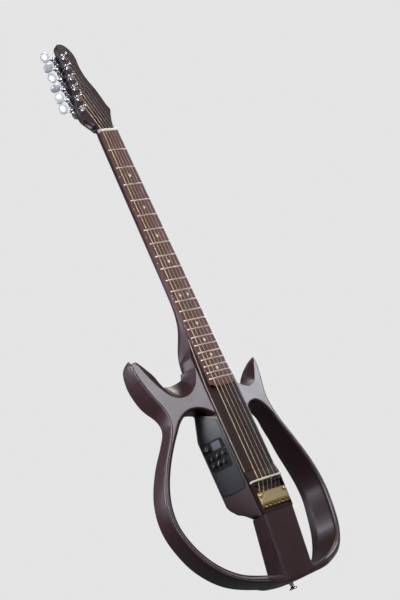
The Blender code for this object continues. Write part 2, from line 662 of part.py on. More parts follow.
def make_panel(plastic, glass, rubber, board_green):
    panel = loft("control_panel", [[panel_point(a, s, out) for a, s in panel_outline()]
                                   for out in (0.0, -PANEL_THICK)], plastic)
    left, right, bottom = 5, PANEL_WIDE - 3.5, PANEL_SHOULDER + 59
    bay = loft("panel_bay", [[panel_point(a, s, out) for a, s in
                              ((left, PANEL_SHOULDER + 6), (right, PANEL_SHOULDER + 6), (right, bottom - 3),
                               (right - 3, bottom), (left + 3, bottom), (left, bottom - 3))]
                             for out in (3.0, -BAY_DEEP)], plastic)
    cut(panel, bay)
    hole = KNOB_SHAFT + RUNNING_GAP
    for number, (inset, down) in enumerate((VOLUME_KNOB, *SMALL_KNOBS)):
        cut(panel, turned(f"knob_hole_{number}", over_panel(PANEL_WIDE - inset, PANEL_SHOULDER + down),
                          ((hole, 3), (hole, -PANEL_THICK - 3)), plastic, segments=12))
    across, s = PANEL_WIDE - SWITCH[0], PANEL_SHOULDER + SWITCH[1]
    half = SWITCH_SLOT / 2
    slot = loft("switch_slot", [[panel_point(a, t, out) for a, t in
                                 ((across - half, s - 1.2), (across + half, s - 1.2),
                                  (across + half, s + 1.2), (across - half, s + 1.2))]
                                for out in (3.0, -PANEL_THICK - 3)], plastic)
    cut(panel, slot)
    shaft_end = -BOARD_DEEP + GAP
    for number, (inset, down) in enumerate((VOLUME_KNOB, *SMALL_KNOBS)):
        across, s = PANEL_WIDE - inset, PANEL_SHOULDER + down
        radius, high = (VOLUME_KNOB_RADIUS, VOLUME_KNOB_HIGH) if number == 0 else \
            (SMALL_KNOB_RADIUS, SMALL_KNOB_HIGH)
        name = "volume_knob" if number == 0 else f"tone_knob_{number}"
        base = -BAY_DEEP + GAP
        turned(name, over_panel(across, s),
               ((KNOB_SHAFT, shaft_end), (KNOB_SHAFT, base), (radius, base), (radius * 0.96, base + 1),
                (radius * 0.86, base + high - 0.6), (radius * 0.74, base + high)), rubber,
               origin=place(*panel_point(across, s, 0)), segments=20)
    across, s = PANEL_WIDE - SWITCH[0], PANEL_SHOULDER + SWITCH[1]
    rings = []
    for half_long, half_wide, out in ((1.6, 0.8, -PANEL_THICK - 1), (1.6, 0.8, -BAY_DEEP + GAP),
                                      (2.6, 1.9, -BAY_DEEP + GAP), (2.3, 1.6, 1.2)):
        rings.append([panel_point(across + a * half_long, s + b * half_wide, out)
                      for a, b in ((-1, -1), (1, -1), (1, 1), (-1, 1))])
    loft("slide_switch", rings, rubber, origin=place(*panel_point(across, s, 0)))
    inset, down, wide, high = DISPLAY
    across, s = PANEL_WIDE - inset, PANEL_SHOULDER + down
    loft("display_window", [[panel_point(across + a * wide / 2, s + b * high / 2, out)
                             for a, b in ((-1, -1), (1, -1), (1, 1), (-1, 1))]
                            for out in (-BAY_DEEP + GAP, 0.4)], glass)
    loft("preamp_board", [[panel_point(a, s, out) for a, s in pocket_outline(0.5)]
                          for out in (-BOARD_DEEP, -BOARD_DEEP - BOARD_THICK)], board_green)


def make_back_fittings(plastic, steel, shell):
    x, s = BATTERY_MIDDLE
    wide, deep, long = BATTERY
    low = -CORE_DEPTH + 1.0
    bar("battery", ((s - long / 2, low), (s + long / 2, low), (s + long / 2, low + deep - 1),
                    (s - long / 2, low + deep - 1)), -wide / 2, wide / 2, shell, x=x)
    face = -CORE_DEPTH - GAP
    half_long = long / 2 + COVER_MARGIN
    bottom = s + half_long
    hinge_h = face - HINGE_RADIUS
    profile = [(s - half_long, face), (bottom - HINGE_RADIUS, face)]
    for k in range(9):
        turn = math.radians(90 - 22.5 * k)
        profile.append((bottom + HINGE_RADIUS * math.cos(turn), hinge_h + HINGE_RADIUS * math.sin(turn)))
    profile += [(bottom - HINGE_RADIUS, face - COVER_THICK), (s - half_long, face - COVER_THICK)]
    rings = [[(x + edge, a, b) for a, b in profile] for edge in
             (-wide / 2 - COVER_MARGIN, wide / 2 + COVER_MARGIN)]
    loft("battery_cover", rings, plastic, origin=place(x, bottom, hinge_h))
    for name, x in JACKS:
        bore = JACK_BORE if name == "output_jack" else JACK_BORE * 0.55
        turned(name, over_back(x, JACKS_DOWN),
               ((bore, 1.6 - JACK_LONG), (bore, 1.6), (JACK_RADIUS + 1.5, 1.6), (JACK_RADIUS + 1.5, GAP),
                (JACK_RADIUS, GAP), (JACK_RADIUS, -JACK_LONG)), steel)


def make_bridge(wood, bone, gold, steel):
    slot_start = SCALE_LENGTH - 0.5
    slot_end = slot_start + SADDLE_THICK + 2 * GAP
    slot_floor = -RECESS_FLOOR + 0.6
    recess_end = TAILPIECE_START + TAILPIECE_LONG + 3
    profile = ((PLATE_END + GAP, -CORE_FRONT + GAP), (PLATE_END + GAP, -PLATE_TOP),
               (PLATE_END + 13, -BRIDGE_TOP),
               (slot_start, -BRIDGE_TOP), (slot_start, slot_floor), (slot_end, slot_floor),
               (slot_end, -BRIDGE_TOP), (RECESS_START, -BRIDGE_TOP),
               (CORE_END, -BEAM_START_FRONT), (CORE_END, -CORE_FRONT + GAP))
    bridge = bar("bridge_block", profile, -BRIDGE_HALF, BRIDGE_HALF, wood)
    recess = bar("tailpiece_recess", ((RECESS_START, 0), (recess_end, 0), (recess_end, -RECESS_FLOOR),
                                      (RECESS_START + 1, -RECESS_FLOOR)),
                 -TAILPIECE_HALF - GAP, TAILPIECE_HALF + GAP, wood)
    cut(bridge, recess)
    low = slot_floor + GAP
    start, end = slot_start + GAP, slot_end - GAP
    bar("piezo_pickup", ((start, low), (end, low), (end, low + PICKUP_THICK), (start, low + PICKUP_THICK)),
        -SADDLE_LONG / 2, SADDLE_LONG / 2, steel)
    low += PICKUP_THICK + GAP
    bar("saddle", ((start, low), (end, low), (end, SADDLE_TOP - 0.9), (start + 1.2, SADDLE_TOP),
                   (start, SADDLE_TOP - 0.6)), -SADDLE_LONG / 2, SADDLE_LONG / 2, bone)

    rear = TAILPIECE_START + TAILPIECE_LONG
    outline = [(-TAILPIECE_HALF, TAILPIECE_START), (TAILPIECE_HALF, TAILPIECE_START),
               (TAILPIECE_HALF, rear)]
    for index in reversed(range(STRING_COUNT)):
        x = string_x(index, SCALE_LENGTH)
        half = NOTCH_WIDE / 2
        outline += [(x + half, rear), (x + half, rear - NOTCH_LONG), (x - half, rear - NOTCH_LONG),
                    (x - half, rear)]
    outline.append((-TAILPIECE_HALF, rear))
    base = -RECESS_FLOOR + GAP
    tailpiece = loft("tailpiece", [[(x, s, h) for x, s in outline] for h in (base, base + TAILPIECE_THICK)],
                     gold)
    for index in range(STRING_COUNT):
        x = string_x(index, SCALE_LENGTH)
        height = -RECESS_FLOOR + TAILPIECE_THICK / 2 + GAP

        def down(a, b, s, x=x, height=height):
            return (x + a, s, height + b)

        cut(tailpiece, turned(f"string_hole_{index + 1}", down,
                              ((STRING_HOLE, TAILPIECE_START - 4), (STRING_HOLE, rear - NOTCH_LONG + 1)),
                              gold, segments=10))
    depth = base + TAILPIECE_THICK
    for side, word in ((-1, "bass"), (1, "treble")):
        x, s = side * (TAILPIECE_HALF - 4.3), TAILPIECE_START + 5.0

        def upright(a, b, h, x=x, s=s):
            return (x + a, s + b, h)

        hole = SCREW_HEAD * 0.55
        for piece in (tailpiece, bridge):
            cut(piece, turned(f"{piece.name}_{word}_screw_hole", upright,
                              ((hole + GAP, depth + 3), (hole + GAP, -CORE_FRONT + 0.6)), gold,
                              segments=12))
        turned(f"tailpiece_screw_{word}", upright,
               ((hole, -CORE_FRONT + 1.0), (hole, depth + GAP), (SCREW_HEAD, depth + GAP),
                (SCREW_HEAD, depth + 1.0), (SCREW_HEAD * 0.6, depth + 1.9)), gold, segments=18)


def make_plate(wood):
    """Flat plate under the strings, which tapers towards the neck beside the fretboard."""
    top = board_half(PLATE_START) + PLATE_BESIDE_BOARD
    outline = ((-top, PLATE_START), (top, PLATE_START), (PLATE_HALF, PLATE_SHOULDER), (PLATE_HALF, PLATE_END),
               (-PLATE_HALF, PLATE_END), (-PLATE_HALF, PLATE_SHOULDER))
    loft("top_plate", [[(x, s, -PLATE_TOP - drop) for x, s in outline] for drop in (0, PLATE_THICK)], wood)


def make_beam(wood):
    end = TAIL - RIM_THICK - 3.6
    rings = []
    for s, half, front, deep in ((CORE_END + GAP, BEAM_START_HALF, BEAM_START_FRONT, BEAM_START_DEPTH),
                                 (end, BEAM_END_HALF, BEAM_END_FRONT, BEAM_END_DEPTH)):
        back = front + deep
        rings.append([(-half, s, -front - 2), (-half + 2.5, s, -front), (half - 2.5, s, -front),
                      (half, s, -front - 2), (half, s, -back + 5), (half - 5, s, -back),
                      (-half + 5, s, -back), (-half, s, -back + 5)])
    loft("tail_beam", rings, wood)


def make_strap_buttons(steel):
    middle = -BEAM_END_FRONT - BUTTON_BEHIND

    def under(a, b, drop):
        return (a, TAIL + drop, middle + b)

    for name, at in (("strap_button_tail", under), ("strap_button_heel", over_back(0, HEEL_BUTTON))):
        turned(name, at, ((4.2, GAP), (3.2, 4), (3.2, 8), (STRAP_RADIUS, STRAP_HIGH - 2.2),
                          (STRAP_RADIUS, STRAP_HIGH - 0.6), (STRAP_RADIUS - 1, STRAP_HIGH)), steel)


def main():
    for obj in list(bpy.data.objects):
        bpy.data.objects.remove(obj, do_unlink=True)

    satin = paint("satin brown lacquer", (0.075, 0.034, 0.034), 0.38)
    plate_wood = paint("dark plate wood", (0.085, 0.038, 0.030), 0.42)
    rosewood = paint("rosewood", (0.115, 0.045, 0.030), 0.5)
    bone = paint("bone", (0.80, 0.76, 0.66), 0.35)
    gold = paint("brushed gold", (0.62, 0.46, 0.20), 0.32, 1.0)
    chrome = paint("polished chrome", (0.78, 0.79, 0.82), 0.12, 1.0)
    bronze = paint("wound bronze", (0.60, 0.45, 0.30), 0.35, 1.0)
    steel = paint("plain steel", (0.62, 0.62, 0.64), 0.28, 1.0)
    plastic = paint("charcoal plastic", (0.045, 0.047, 0.055), 0.35)
    rubber = paint("black knob plastic", (0.012, 0.012, 0.014), 0.4)
    glass = paint("display glass", (0.30, 0.34, 0.38), 0.12)
    board_green = paint("circuit board", (0.03, 0.14, 0.06), 0.5)
    shell = paint("battery sleeve", (0.10, 0.10, 0.11), 0.4)

    make_neck(satin)
    make_fretboard(rosewood)
    make_head_fittings(rubber, bone, steel)
    for index in range(STRING_COUNT):
        make_tuner(index, chrome, gold)
        make_string(index, bronze if index < 4 else steel)
    make_core(satin)
    make_plate(plate_wood)
    make_rim("bass_rim", -1, BASS_OUTLINE, BASS_RIM_DEPTH, satin)
    make_rim("treble_rim", 1, TREBLE_OUTLINE, TREBLE_RIM_DEPTH, satin)
    make_wing("bass_wing", -1, BASS_OUTLINE, BASS_SCOOP, BASS_OPENING, BASS_RIM_DEPTH,
              BASS_SCOOP_LEAN, satin)
    make_wing("treble_wing", 1, TREBLE_OUTLINE, TREBLE_SCOOP, TREBLE_OPENING, TREBLE_RIM_DEPTH,
              TREBLE_SCOOP_LEAN, satin)
    make_bridge(plate_wood, bone, gold, steel)
    make_beam(satin)
    make_panel(plastic, glass, rubber, board_green)
    make_back_fittings(plastic, steel, shell)
    make_strap_buttons(steel)


main()
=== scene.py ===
"""Fine surfaces and finishes of a frame-bodied silent guitar, built round its fixed solid model.

Shapes are laid out in the guitar's own measures, in millimetres: x across (treble side positive),
s down the neck from the nut, h in front of the fretboard's playing surface. place() turns them
into metres in the world.
"""

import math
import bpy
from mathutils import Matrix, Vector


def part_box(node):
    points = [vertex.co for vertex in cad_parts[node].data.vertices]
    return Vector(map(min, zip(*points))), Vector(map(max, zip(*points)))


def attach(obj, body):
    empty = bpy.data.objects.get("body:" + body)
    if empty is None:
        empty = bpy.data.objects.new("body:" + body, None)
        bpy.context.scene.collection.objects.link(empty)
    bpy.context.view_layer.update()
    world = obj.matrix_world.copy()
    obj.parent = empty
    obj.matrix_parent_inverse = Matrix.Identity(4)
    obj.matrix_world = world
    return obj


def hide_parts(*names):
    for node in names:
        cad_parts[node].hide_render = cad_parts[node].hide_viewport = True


bl_info = {
    "name": "Silent guitar finish",
    "version": (1, 0, 0),
    "blender": (4, 5, 0),
    "location": "View3D > Sidebar > Guitar",
    "description": "Builds the fine surfaces, fittings and finishes of a frame-bodied silent guitar",
    "category": "Add Mesh",
}

import bmesh
import bpy
import numpy as np
from bpy.props import FloatProperty, FloatVectorProperty, IntProperty, PointerProperty
from mathutils import Matrix, Vector

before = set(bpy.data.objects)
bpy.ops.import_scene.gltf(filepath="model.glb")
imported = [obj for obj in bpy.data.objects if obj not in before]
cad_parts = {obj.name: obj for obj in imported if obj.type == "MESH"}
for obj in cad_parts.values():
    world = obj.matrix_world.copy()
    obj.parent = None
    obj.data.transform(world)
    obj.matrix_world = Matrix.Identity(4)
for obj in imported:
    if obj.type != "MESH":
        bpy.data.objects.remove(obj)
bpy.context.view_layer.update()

MM = 0.001
NUT_TOP = 1.1
NUT_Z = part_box("nut")[0].z / MM
NUT_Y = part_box("nut")[0].y / MM + NUT_TOP

# Strings, fretboard and neck
SCALE = 650.0
STRINGS = 6
NUT_WIDTH = 43.0
LAST_FRET = 22
WIDTH_AT_LAST_FRET = 57.8
BOARD_END = 478.0
BOARD_THICK = 6.0
BOARD_RADIUS = 420.0
NUT_THICK = 5.0
SLOT_FLOOR = 1.2
STRING_RADII = (0.66, 0.54, 0.42, 0.33, 0.21, 0.17)
NECK_END = 440.0
HEEL_DEPTH = 58.0
NECK_STATIONS = ((-6, 19.5, 1.0), (10, 21, 1.0), (60, 21.6, 1.0), (120, 22.2, 1.0), (220, 23.1, 1.0),
                 (300, 23.9, 1.0), (335, 25.5, 0.95), (360, 32, 0.85), (380, 41, 0.75),
                 (400, 50, 0.65), (420, 55.5, 0.6), (440, 58, 0.55))
HEAD_TILT = math.radians(12.5)
HEAD_DROP = 4.0
HEAD_THICK = 11.0
TUNER_FIRST = (-23.0, 55.3)
TUNER_STEP = (7.9, 23.9)
POST_RADIUS = 3.0
POST_HIGH = 12.0
WRAP_LOW, WRAP_HIGH = 2.6, 7.4
HOUSING_LONG, HOUSING_WIDE, HOUSING_DEEP = 16.0, 19.0, 10.0
WORM_OFFSET = 8.0
BUTTON_REACH = 26.3
BUTTON_RADIUS = 9.6
BUTTON_THICK = 6.6
BUTTON_TURNS = (20, 35, 80, 15, 65, 25)

# Body
ROOF_TILT = math.radians(15.5)
ROOF_TOP = 10.0
CORE_HALF = 38.4
FLAT_HALF = 76.0
GAP = 0.3
RIM_THICK = 4.0
LINING_THICK = 8.0
ARM_DEPTH = 42.0
CORE_FRONT = 10.8
CORE_DEPTH = 64.0
CORE_END = 706.0
PLATE_START, PLATE_END, PLATE_HALF, PLATE_TOP, PLATE_THICK = 392.0, 631.0, 38.0, 6.3, 4.0
PLATE_BESIDE_BOARD, PLATE_SHOULDER = 1.8, 475.0
CORE_BLEND = 56.0
TAIL = 820.0
BRIDGE_HALF, BRIDGE_TOP = 37.5, 3.0
RECESS_START, RECESS_FLOOR = 658.0, 9.0
SADDLE_THICK, SADDLE_LONG, SADDLE_TOP = 3.0, 74.0, 3.6
TAILPIECE_START, TAILPIECE_LONG, TAILPIECE_HALF, TAILPIECE_THICK = 671.0, 27.0, 35.0, 6.2
TAILPIECE_BASE = -RECESS_FLOOR + GAP
BEAM_START_HALF, BEAM_END_HALF, BEAM_START_FRONT, BEAM_END_FRONT = 37.5, 36.0, 5.5, 20.0
BEAM_START_DEPTH, BEAM_END_DEPTH = 35.5, 46.0
BUTTON_BEHIND = 28.0
STRAP_HIGH = 12.0
STRAP_RADIUS = 7.0
HEEL_BUTTON = 495.0

# Control panel and pod
PANEL_FRONT = (-38.5, -13.0)
PANEL_LEAN = math.atan2(20.5, 46.0)
PANEL_WIDE, PANEL_TOP, PANEL_TOP_WIDE, PANEL_SHOULDER, PANEL_BOTTOM = 48.0, 514.5, 34.5, 554.0, 655.0
PANEL_THICK = 3.2
BAY_DEEP = 1.2
BOARD_DEEP, BOARD_HIGH = 10.0, 1.6
POD_REACH = ((514.5, 35.5), (554, 48), (670, 48), (677, 45), (688, 36), (697, 19), (706, 1.5))
POD_BACK = ((440, 58), (480, 64), (676, 64), (690, 57), (700, 47), (706, 41))
POD_UNDERCUT, POD_SLANT, POD_RISE = 1.16, 17.5, 2.5
SMALL_KNOBS = ((36.1, 588.5), (25.0, 587.5), (13.9, 586.8), (37.5, 600.4), (27.8, 600.4), (18.1, 600.4))
VOLUME_KNOB = (37.0, 570.6)
DISPLAY = (20.4, 570.4, 17.0, 14.0)
SWITCH = (28.4, 608.0)
PANEL_SCREWS = ((44.0, 556.5), (42.5, 640.0), (5.5, 641.0))
BATTERY = (26.5, 17.5, 48.5)
BATTERY_MIDDLE = (-12.0, 585.0)
COVER_THICK, COVER_MARGIN, HINGE_RADIUS = 2.4, 4.0, 1.5
JACKS = (("output_jack", -30.0, 662.0, 3.4), ("headphone_jack", -6.0, 662.0, 1.87))
JACK_RADIUS = 7.0
JACK_LONG = 22.0

# Outlines of the body as (u, s): u is measured out over the sloping face from the middle
BASS_OUTLINE = ((150, 396), (152, 406), (149, 430), (140, 462), (128.5, 492), (128, 517), (141, 541),
                (166.5, 577), (188.5, 620), (197, 662), (191, 702), (168, 749), (128, 788), (71, 812),
                (30, 818.5), (0, 820))
TREBLE_OUTLINE = ((151, 437), (150.5, 454), (144, 475), (133, 503), (132, 524), (142, 552), (165, 590),
                  (187, 630), (198, 668), (197.5, 706), (181, 758), (142.5, 796), (77, 816), (30, 819.8),
                  (0, 820))
BASS_SCOOP = ((142, 401), (135.5, 408), (129, 425), (116, 453), (100, 474), (80, 480.5), (60, 474),
              (46, 457), (38.7, 437))
TREBLE_SCOOP = ((146, 440), (138, 447), (126, 463), (110, 480), (86, 488.5), (65, 487), (50, 482),
                (38.7, 476))
BASS_ARCH = ((118, 534), (105, 519.5), (90, 509), (75, 505.5), (60, 508.5), (46, 518), (38.7, 525))
TREBLE_ARCH = ((121, 541), (108, 528), (94, 519.5), (80, 516.5), (62, 518.5), (48, 525), (38.7, 532))
BASS_DEPTH = ((396, 14), (400, 23), (412, 36), (440, 48), (475, 50), (500, 38), (522, 33), (560, 40),
              (610, 45), (690, 46), (760, 50), (830, 50))
TREBLE_DEPTH = ((437, 5), (441, 15), (448, 25), (456, 34), (470, 42), (495, 40), (530, 34),
                (565, 40), (615, 49), (690, 52), (740, 56), (790, 57), (818, 50), (830, 50))
HORN_DEPTH = ((0, 10), (28, 16), (52, 28), (84, 42))
SIDES = (("bass", -1, BASS_OUTLINE, BASS_SCOOP, BASS_ARCH, BASS_DEPTH, 34.0),
         ("treble", 1, TREBLE_OUTLINE, TREBLE_SCOOP, TREBLE_ARCH, TREBLE_DEPTH, 10.0))
HEAD_OUTLINE = ((-21.5, 6.5), (-26, 15), (-37.5, 31), (-34.5, 51), (-19.5, 82), (-9.3, 109), (0.5, 137),
                (9, 163), (12.5, 186), (17, 201), (26, 208.5), (37, 206), (43.5, 198), (47, 186),
                (46.5, 172), (41, 156), (38, 138), (38.3, 119), (42, 100), (42.5, 78), (42, 62),
                (44.8, 51), (37, 38.5), (27, 21), (21.5, 6.5))

# Stage
FLOOR = -350.0
WORLD_LEVEL = 0.11
LIGHTS = (("front", (0.25, -3.1, 1.3), (0, 0, 0.5), (2.4, 1.4), 112.0, (0.90, 0.93, 1.0)),
          ("back", (-0.56, 0.61, 0.60), (0, 0, 0.42), (0.3, 0.3), 1.8, (0.88, 0.84, 1.0)),
          ("above", (-1.35, 1.0, 2.6), (0.1, 0, 0.1), (0.5, 0.8), 16.0, (0.88, 0.88, 1.0)),
          ("low_left", (-2.8, 0.55, 0.75), (0, 0, 0.2), (0.5, 0.5), 9.0, (0.88, 0.88, 1.0)),
          ("right", (2.9, -0.55, 1.0), (0, 0, 0.4), (0.6, 0.8), 16.0, (0.90, 0.90, 1.0)),
          ("upper_right", (2.2, 0.2, 3.2), (0, 0, 0.6), (1.0, 0.8), 30.0, (1.0, 0.96, 0.9)),
          ("left", (-0.54, -0.06, 0.49), (-0.05, 0, 0.29), (0.14, 0.14), 2.2, (0.93, 0.95, 1.0)))


class GuitarSizes(bpy.types.PropertyGroup):
    """Sizes of the fine details, in millimetres."""
    fret_wide: FloatProperty(name="Fret width", description="Width of a fret's crown", default=2.2)
    fret_high: FloatProperty(name="Fret height", description="Height of a fret's crown", default=1.0)
    dot_radius: FloatProperty(name="Dot radius", description="Radius of the fretboard dots", default=3.0)
    rim_round: FloatProperty(name="Hoop edge", description="Rounding of the hoop's outer edge", default=2.0)
    lining_round: FloatProperty(name="Lining edge", description="Rounding inside the hoop", default=5.0)
    arch_round: FloatProperty(name="Arch edge", description="Rounding of the arch by the core", default=3.2)
    scoop_round: FloatProperty(name="Scoop edge", description="Rounding of the cutaways", default=1.6)
    plate_round: FloatProperty(name="Plate edge", description="Rounding of plates and panels", default=0.9)
    binding: FloatProperty(name="Binding", description="Width of the pale strip beside the plate",
                           default=0.9)
    knob_ribs: IntProperty(name="Knob ribs", description="Number of ribs round a knob", default=18)


def colour(label, red, green, blue):
    return FloatVectorProperty(name=label, description=label + " colour", subtype="COLOR", size=3,
                               min=0.0, max=1.0, default=(red, green, blue))


class GuitarColours(bpy.types.PropertyGroup):
    """Colours of the finishes."""
    lacquer: colour("Satin lacquer", 0.033, 0.009, 0.011)
    lacquer_dark: colour("Satin lacquer in the pores", 0.016, 0.005, 0.006)
    plate: colour("Plate wood", 0.032, 0.012, 0.009)
    rosewood: colour("Rosewood", 0.020, 0.0065, 0.004)
    bone: colour("Bone", 0.80, 0.76, 0.66)
    gold: colour("Gold", 0.60, 0.46, 0.25)
    chrome: colour("Chrome", 0.78, 0.79, 0.82)
    bronze: colour("Bronze", 0.80, 0.63, 0.42)
    steel: colour("Steel", 0.74, 0.71, 0.66)
    charcoal: colour("Charcoal plastic", 0.013, 0.014, 0.019)
    rubber: colour("Knob plastic", 0.010, 0.010, 0.012)
    display: colour("Display", 0.085, 0.10, 0.13)
    board: colour("Circuit board", 0.03, 0.14, 0.06)
    sleeve: colour("Battery sleeve", 0.10, 0.10, 0.11)
    backdrop: colour("Backdrop", 0.78, 0.78, 0.78)


def place(x, s, h):
    """World points in metres: x as it is, y behind the playing surface, z up from the tail button."""
    x, s, h = np.broadcast_arrays(np.asarray(x, float), s, h)
    return np.stack([x, NUT_Y - h, NUT_Z - s], -1) * MM


def over_head(x, along, out):
    """World points over the head's face, which leans back from the nut by its tilt."""
    c, t = math.cos(HEAD_TILT), math.sin(HEAD_TILT)
    return place(x, -along * c - out * t, -HEAD_DROP - along * t + out * c)


def over_panel(across, s, out):
    """World points over the control panel, a plane that leans out from the plate's edge."""
    c, t = math.cos(PANEL_LEAN), math.sin(PANEL_LEAN)
    x, h = PANEL_FRONT
    return place(x - across * t - out * c, s, h - across * c + out * t)


def over_back(x, s, out):
    """World points so far behind the core's flat back."""
    return place(x, s, -CORE_DEPTH - out)


def fold(side, u, s, depth, hoop=False):
    """World points on the body's sloping face and under it. The hoop stops sloping at the tail."""
    u, s, depth = np.broadcast_arrays(np.asarray(u, float), s, depth)
    reach = np.maximum(u, FLAT_HALF) if hoop else u
    tilt = ROOF_TILT * np.clip(u / FLAT_HALF, 0, 1) if hoop else ROOF_TILT
    x = np.minimum(u, CORE_HALF) + np.maximum(u - CORE_HALF, 0) * math.cos(ROOF_TILT) - depth * np.sin(tilt)
    if not hoop:
        x = np.maximum(x, CORE_HALF + GAP)
    h = -ROOF_TOP - (reach - CORE_HALF) * math.sin(ROOF_TILT) - depth * np.cos(tilt)
    return place(side * x, s, h)


def read(table, s):
    """Straight-line reading of a table of (s, value) pairs."""
    at, value = np.array(table, float).T
    return np.interp(s, at, value)


def step_up(x, low, high):
    """Rises smoothly from 0 at low to 1 at high."""
    t = np.clip((x - low) / (high - low), 0, 1)
    return t * t * (3 - 2 * t)


def smooth(points, steps=14):
    """Curve through the points: each stretch is the cubic whose slope at a point is that of its neighbours."""
    p = np.array(points, float)
    p = np.vstack([2 * p[0] - p[1], p, 2 * p[-1] - p[-2]])
    a, b, c, d = (p[k:len(p) - 3 + k, None] for k in range(4))
    t = (np.arange(steps) / steps)[None, :, None]
    line = 0.5 * (2 * b + (c - a) * t + (2 * a - 5 * b + 4 * c - d) * t ** 2 + (3 * b - a - 3 * c + d) * t ** 3)
    return np.vstack([line.reshape(-1, p.shape[1]), p[-2]])


def spread(path, count):
    """The path read again at evenly spaced lengths, or at given shares of its length."""
    path = np.asarray(path, float)
    run = np.concatenate([[0], np.cumsum(np.linalg.norm(np.diff(path, axis=0), axis=1))])
    share = np.linspace(0, 1, count) if np.isscalar(count) else np.asarray(count)
    return np.stack([np.interp(share * run[-1], run, column) for column in path.T], -1)


def offset(path, distance, closed=False):
    """The path moved to its left by a distance, along the normal at each point."""
    path = np.asarray(path, float)
    if closed:
        along = np.roll(path, -1, 0) - np.roll(path, 1, 0)
    else:
        along = np.gradient(path, axis=0)
    along /= np.linalg.norm(along, axis=1)[:, None] + 1e-12
    left = np.stack([-along[:, 1], along[:, 0]], -1)
    return path + left * np.asarray(distance, float).reshape(-1, 1)


def rounded(points, reach, steps=5):
    """Closed polygons with each corner replaced by a parabola that starts so far before the corner."""
    p = np.asarray(points, float)
    before, after = np.roll(p, 1, -2) - p, np.roll(p, -1, -2) - p
    back = np.linalg.norm(before, axis=-1, keepdims=True) + 1e-9
    ahead = np.linalg.norm(after, axis=-1, keepdims=True) + 1e-9
    reach = np.minimum(np.asarray(reach, float)[..., None] if np.ndim(reach) else reach,
                       0.49 * np.minimum(back, ahead))
    a, b = (p + before / back * reach)[..., None, :], (p + after / ahead * reach)[..., None, :]
    t = np.linspace(0, 1, steps + 1)[:, None]
    arc = (1 - t) ** 2 * a + 2 * t * (1 - t) * p[..., None, :] + t * t * b
    return arc.reshape(*p.shape[:-2], -1, p.shape[-1])


def soften(profile, reach, steps=4):
    """Open profile with its inner corners rounded."""
    p = np.array(profile, float)
    whole = rounded(p, reach, steps).reshape(len(p), steps + 1, -1)
    return np.vstack([p[:1], whole[1:-1].reshape(-1, p.shape[1]), p[-1:]])


def circle(radius, segments=48):
    turn = np.linspace(0, 2 * np.pi, segments, endpoint=False)
    return np.stack([radius * np.cos(turn), radius * np.sin(turn)], -1)


def box_outline(x0, s0, x1, s1, reach=0.0, steps=5):
    corners = ((x0, s0), (x1, s0), (x1, s1), (x0, s1))
    return rounded(corners, reach, steps) if reach else np.array(corners, float)


def tube(rings, cyclic=False):
    """Shell over rings of equally many points, closed by a flat face at each end unless it is a loop."""
    rings = np.asarray(rings, float)
    n, m = rings.shape[:2]
    last = n if cyclic else n - 1
    i, k = np.meshgrid(np.arange(last), np.arange(m), indexing="ij")
    a, b = i * m + k, i * m + (k + 1) % m
    c, d = (i + 1) % n * m + (k + 1) % m, (i + 1) % n * m + k
    quads = np.stack([a, b, c, d], -1).reshape(-1, 4)
    across = np.linalg.norm(np.roll(rings, -1, 1) - rings, axis=-1).mean(0)
    around = np.concatenate([[0], np.cumsum(across)])
    along = np.concatenate([[0], np.cumsum(np.linalg.norm(np.diff(rings, axis=0), axis=-1).mean(1))])
    along = np.append(along, along[-1] + (along[-1] - along[-2]))
    uv = np.stack([np.stack([along[i], around[k]], -1), np.stack([along[i], around[k + 1]], -1),
                   np.stack([along[i + 1], around[k + 1]], -1), np.stack([along[i + 1], around[k]], -1)], 2)
    caps = [] if cyclic else [list(range(m))[::-1], list(range((n - 1) * m, n * m))]
    return rings.reshape(-1, 3), quads, caps, uv.reshape(-1, 4, 2)


def plate(outline, at, low, high, top=0.8, foot=0.3, hollow=None, steps=4):
    """Flat piece with rounded edges: the outline is drawn in by a quarter ellipse at its top and foot.

    hollow is a share, 0 for a rounded and 1 for a scooped top edge, at each point of the outline.
    """
    outline = np.asarray(outline, float)
    x, y = outline.T
    turning = np.sum(x * np.roll(y, -1) - y * np.roll(x, -1))
    top, foot = np.broadcast_to(top, len(x)) * 1.0, np.broadcast_to(foot, len(x)) * 1.0
    hollow = np.zeros(len(x)) if hollow is None else np.asarray(hollow, float)
    way = 1 if turning > 0 else -1
    rows = []
    turns = np.linspace(0, np.pi / 2, steps + 1)
    for t in turns:
        rows.append((foot * (1 - math.sin(t)), low + foot * (1 - math.cos(t))))
    for t in turns[::-1]:
        drawn = (1 - math.sin(t)) * (1 - hollow) + math.cos(t) * hollow
        down = (1 - math.cos(t)) * (1 - hollow) + math.sin(t) * hollow
        rows.append((top * drawn, high - top * down))
    rows = [(foot + 0.3, low + 0 * foot), *rows, (top + 0.3, high + 0 * top)]
    return tube([at(*offset(outline, way * inset, True).T, out) for inset, out in rows])


def turned(at, profile, segments=40, ribs=0, rib_deep=0.0):
    """Round piece: a profile of (radius, distance) pairs turned about an axis, with ribs if wanted."""
    profile = np.array(profile, float)
    turn = np.linspace(0, 2 * np.pi, segments, endpoint=False)
    radius = profile[:, :1] * (1 + rib_deep * np.cos(ribs * turn)[None, :])
    return tube(at(radius * np.cos(turn), radius * np.sin(turn), profile[:, 1:] + 0 * turn))


def cord(path, radius, sides=12):
    """Round bar along a path of world points, with its sections square to the path."""
    path = np.asarray(path, float)
    way = np.gradient(path, axis=0)
    way /= np.linalg.norm(way, axis=1)[:, None]
    aside = np.cross(way, (0.0, 1.0, 0.0))
    aside /= np.linalg.norm(aside, axis=1)[:, None] + 1e-12
    up = np.cross(aside, way)
    turn = np.linspace(0, 2 * np.pi, sides, endpoint=False)[None, :, None]
    radius = np.broadcast_to(radius, len(path)).reshape(-1, 1, 1) * MM
    return tube(path[:, None] + radius * (np.cos(turn) * aside[:, None] + np.sin(turn) * up[:, None]))


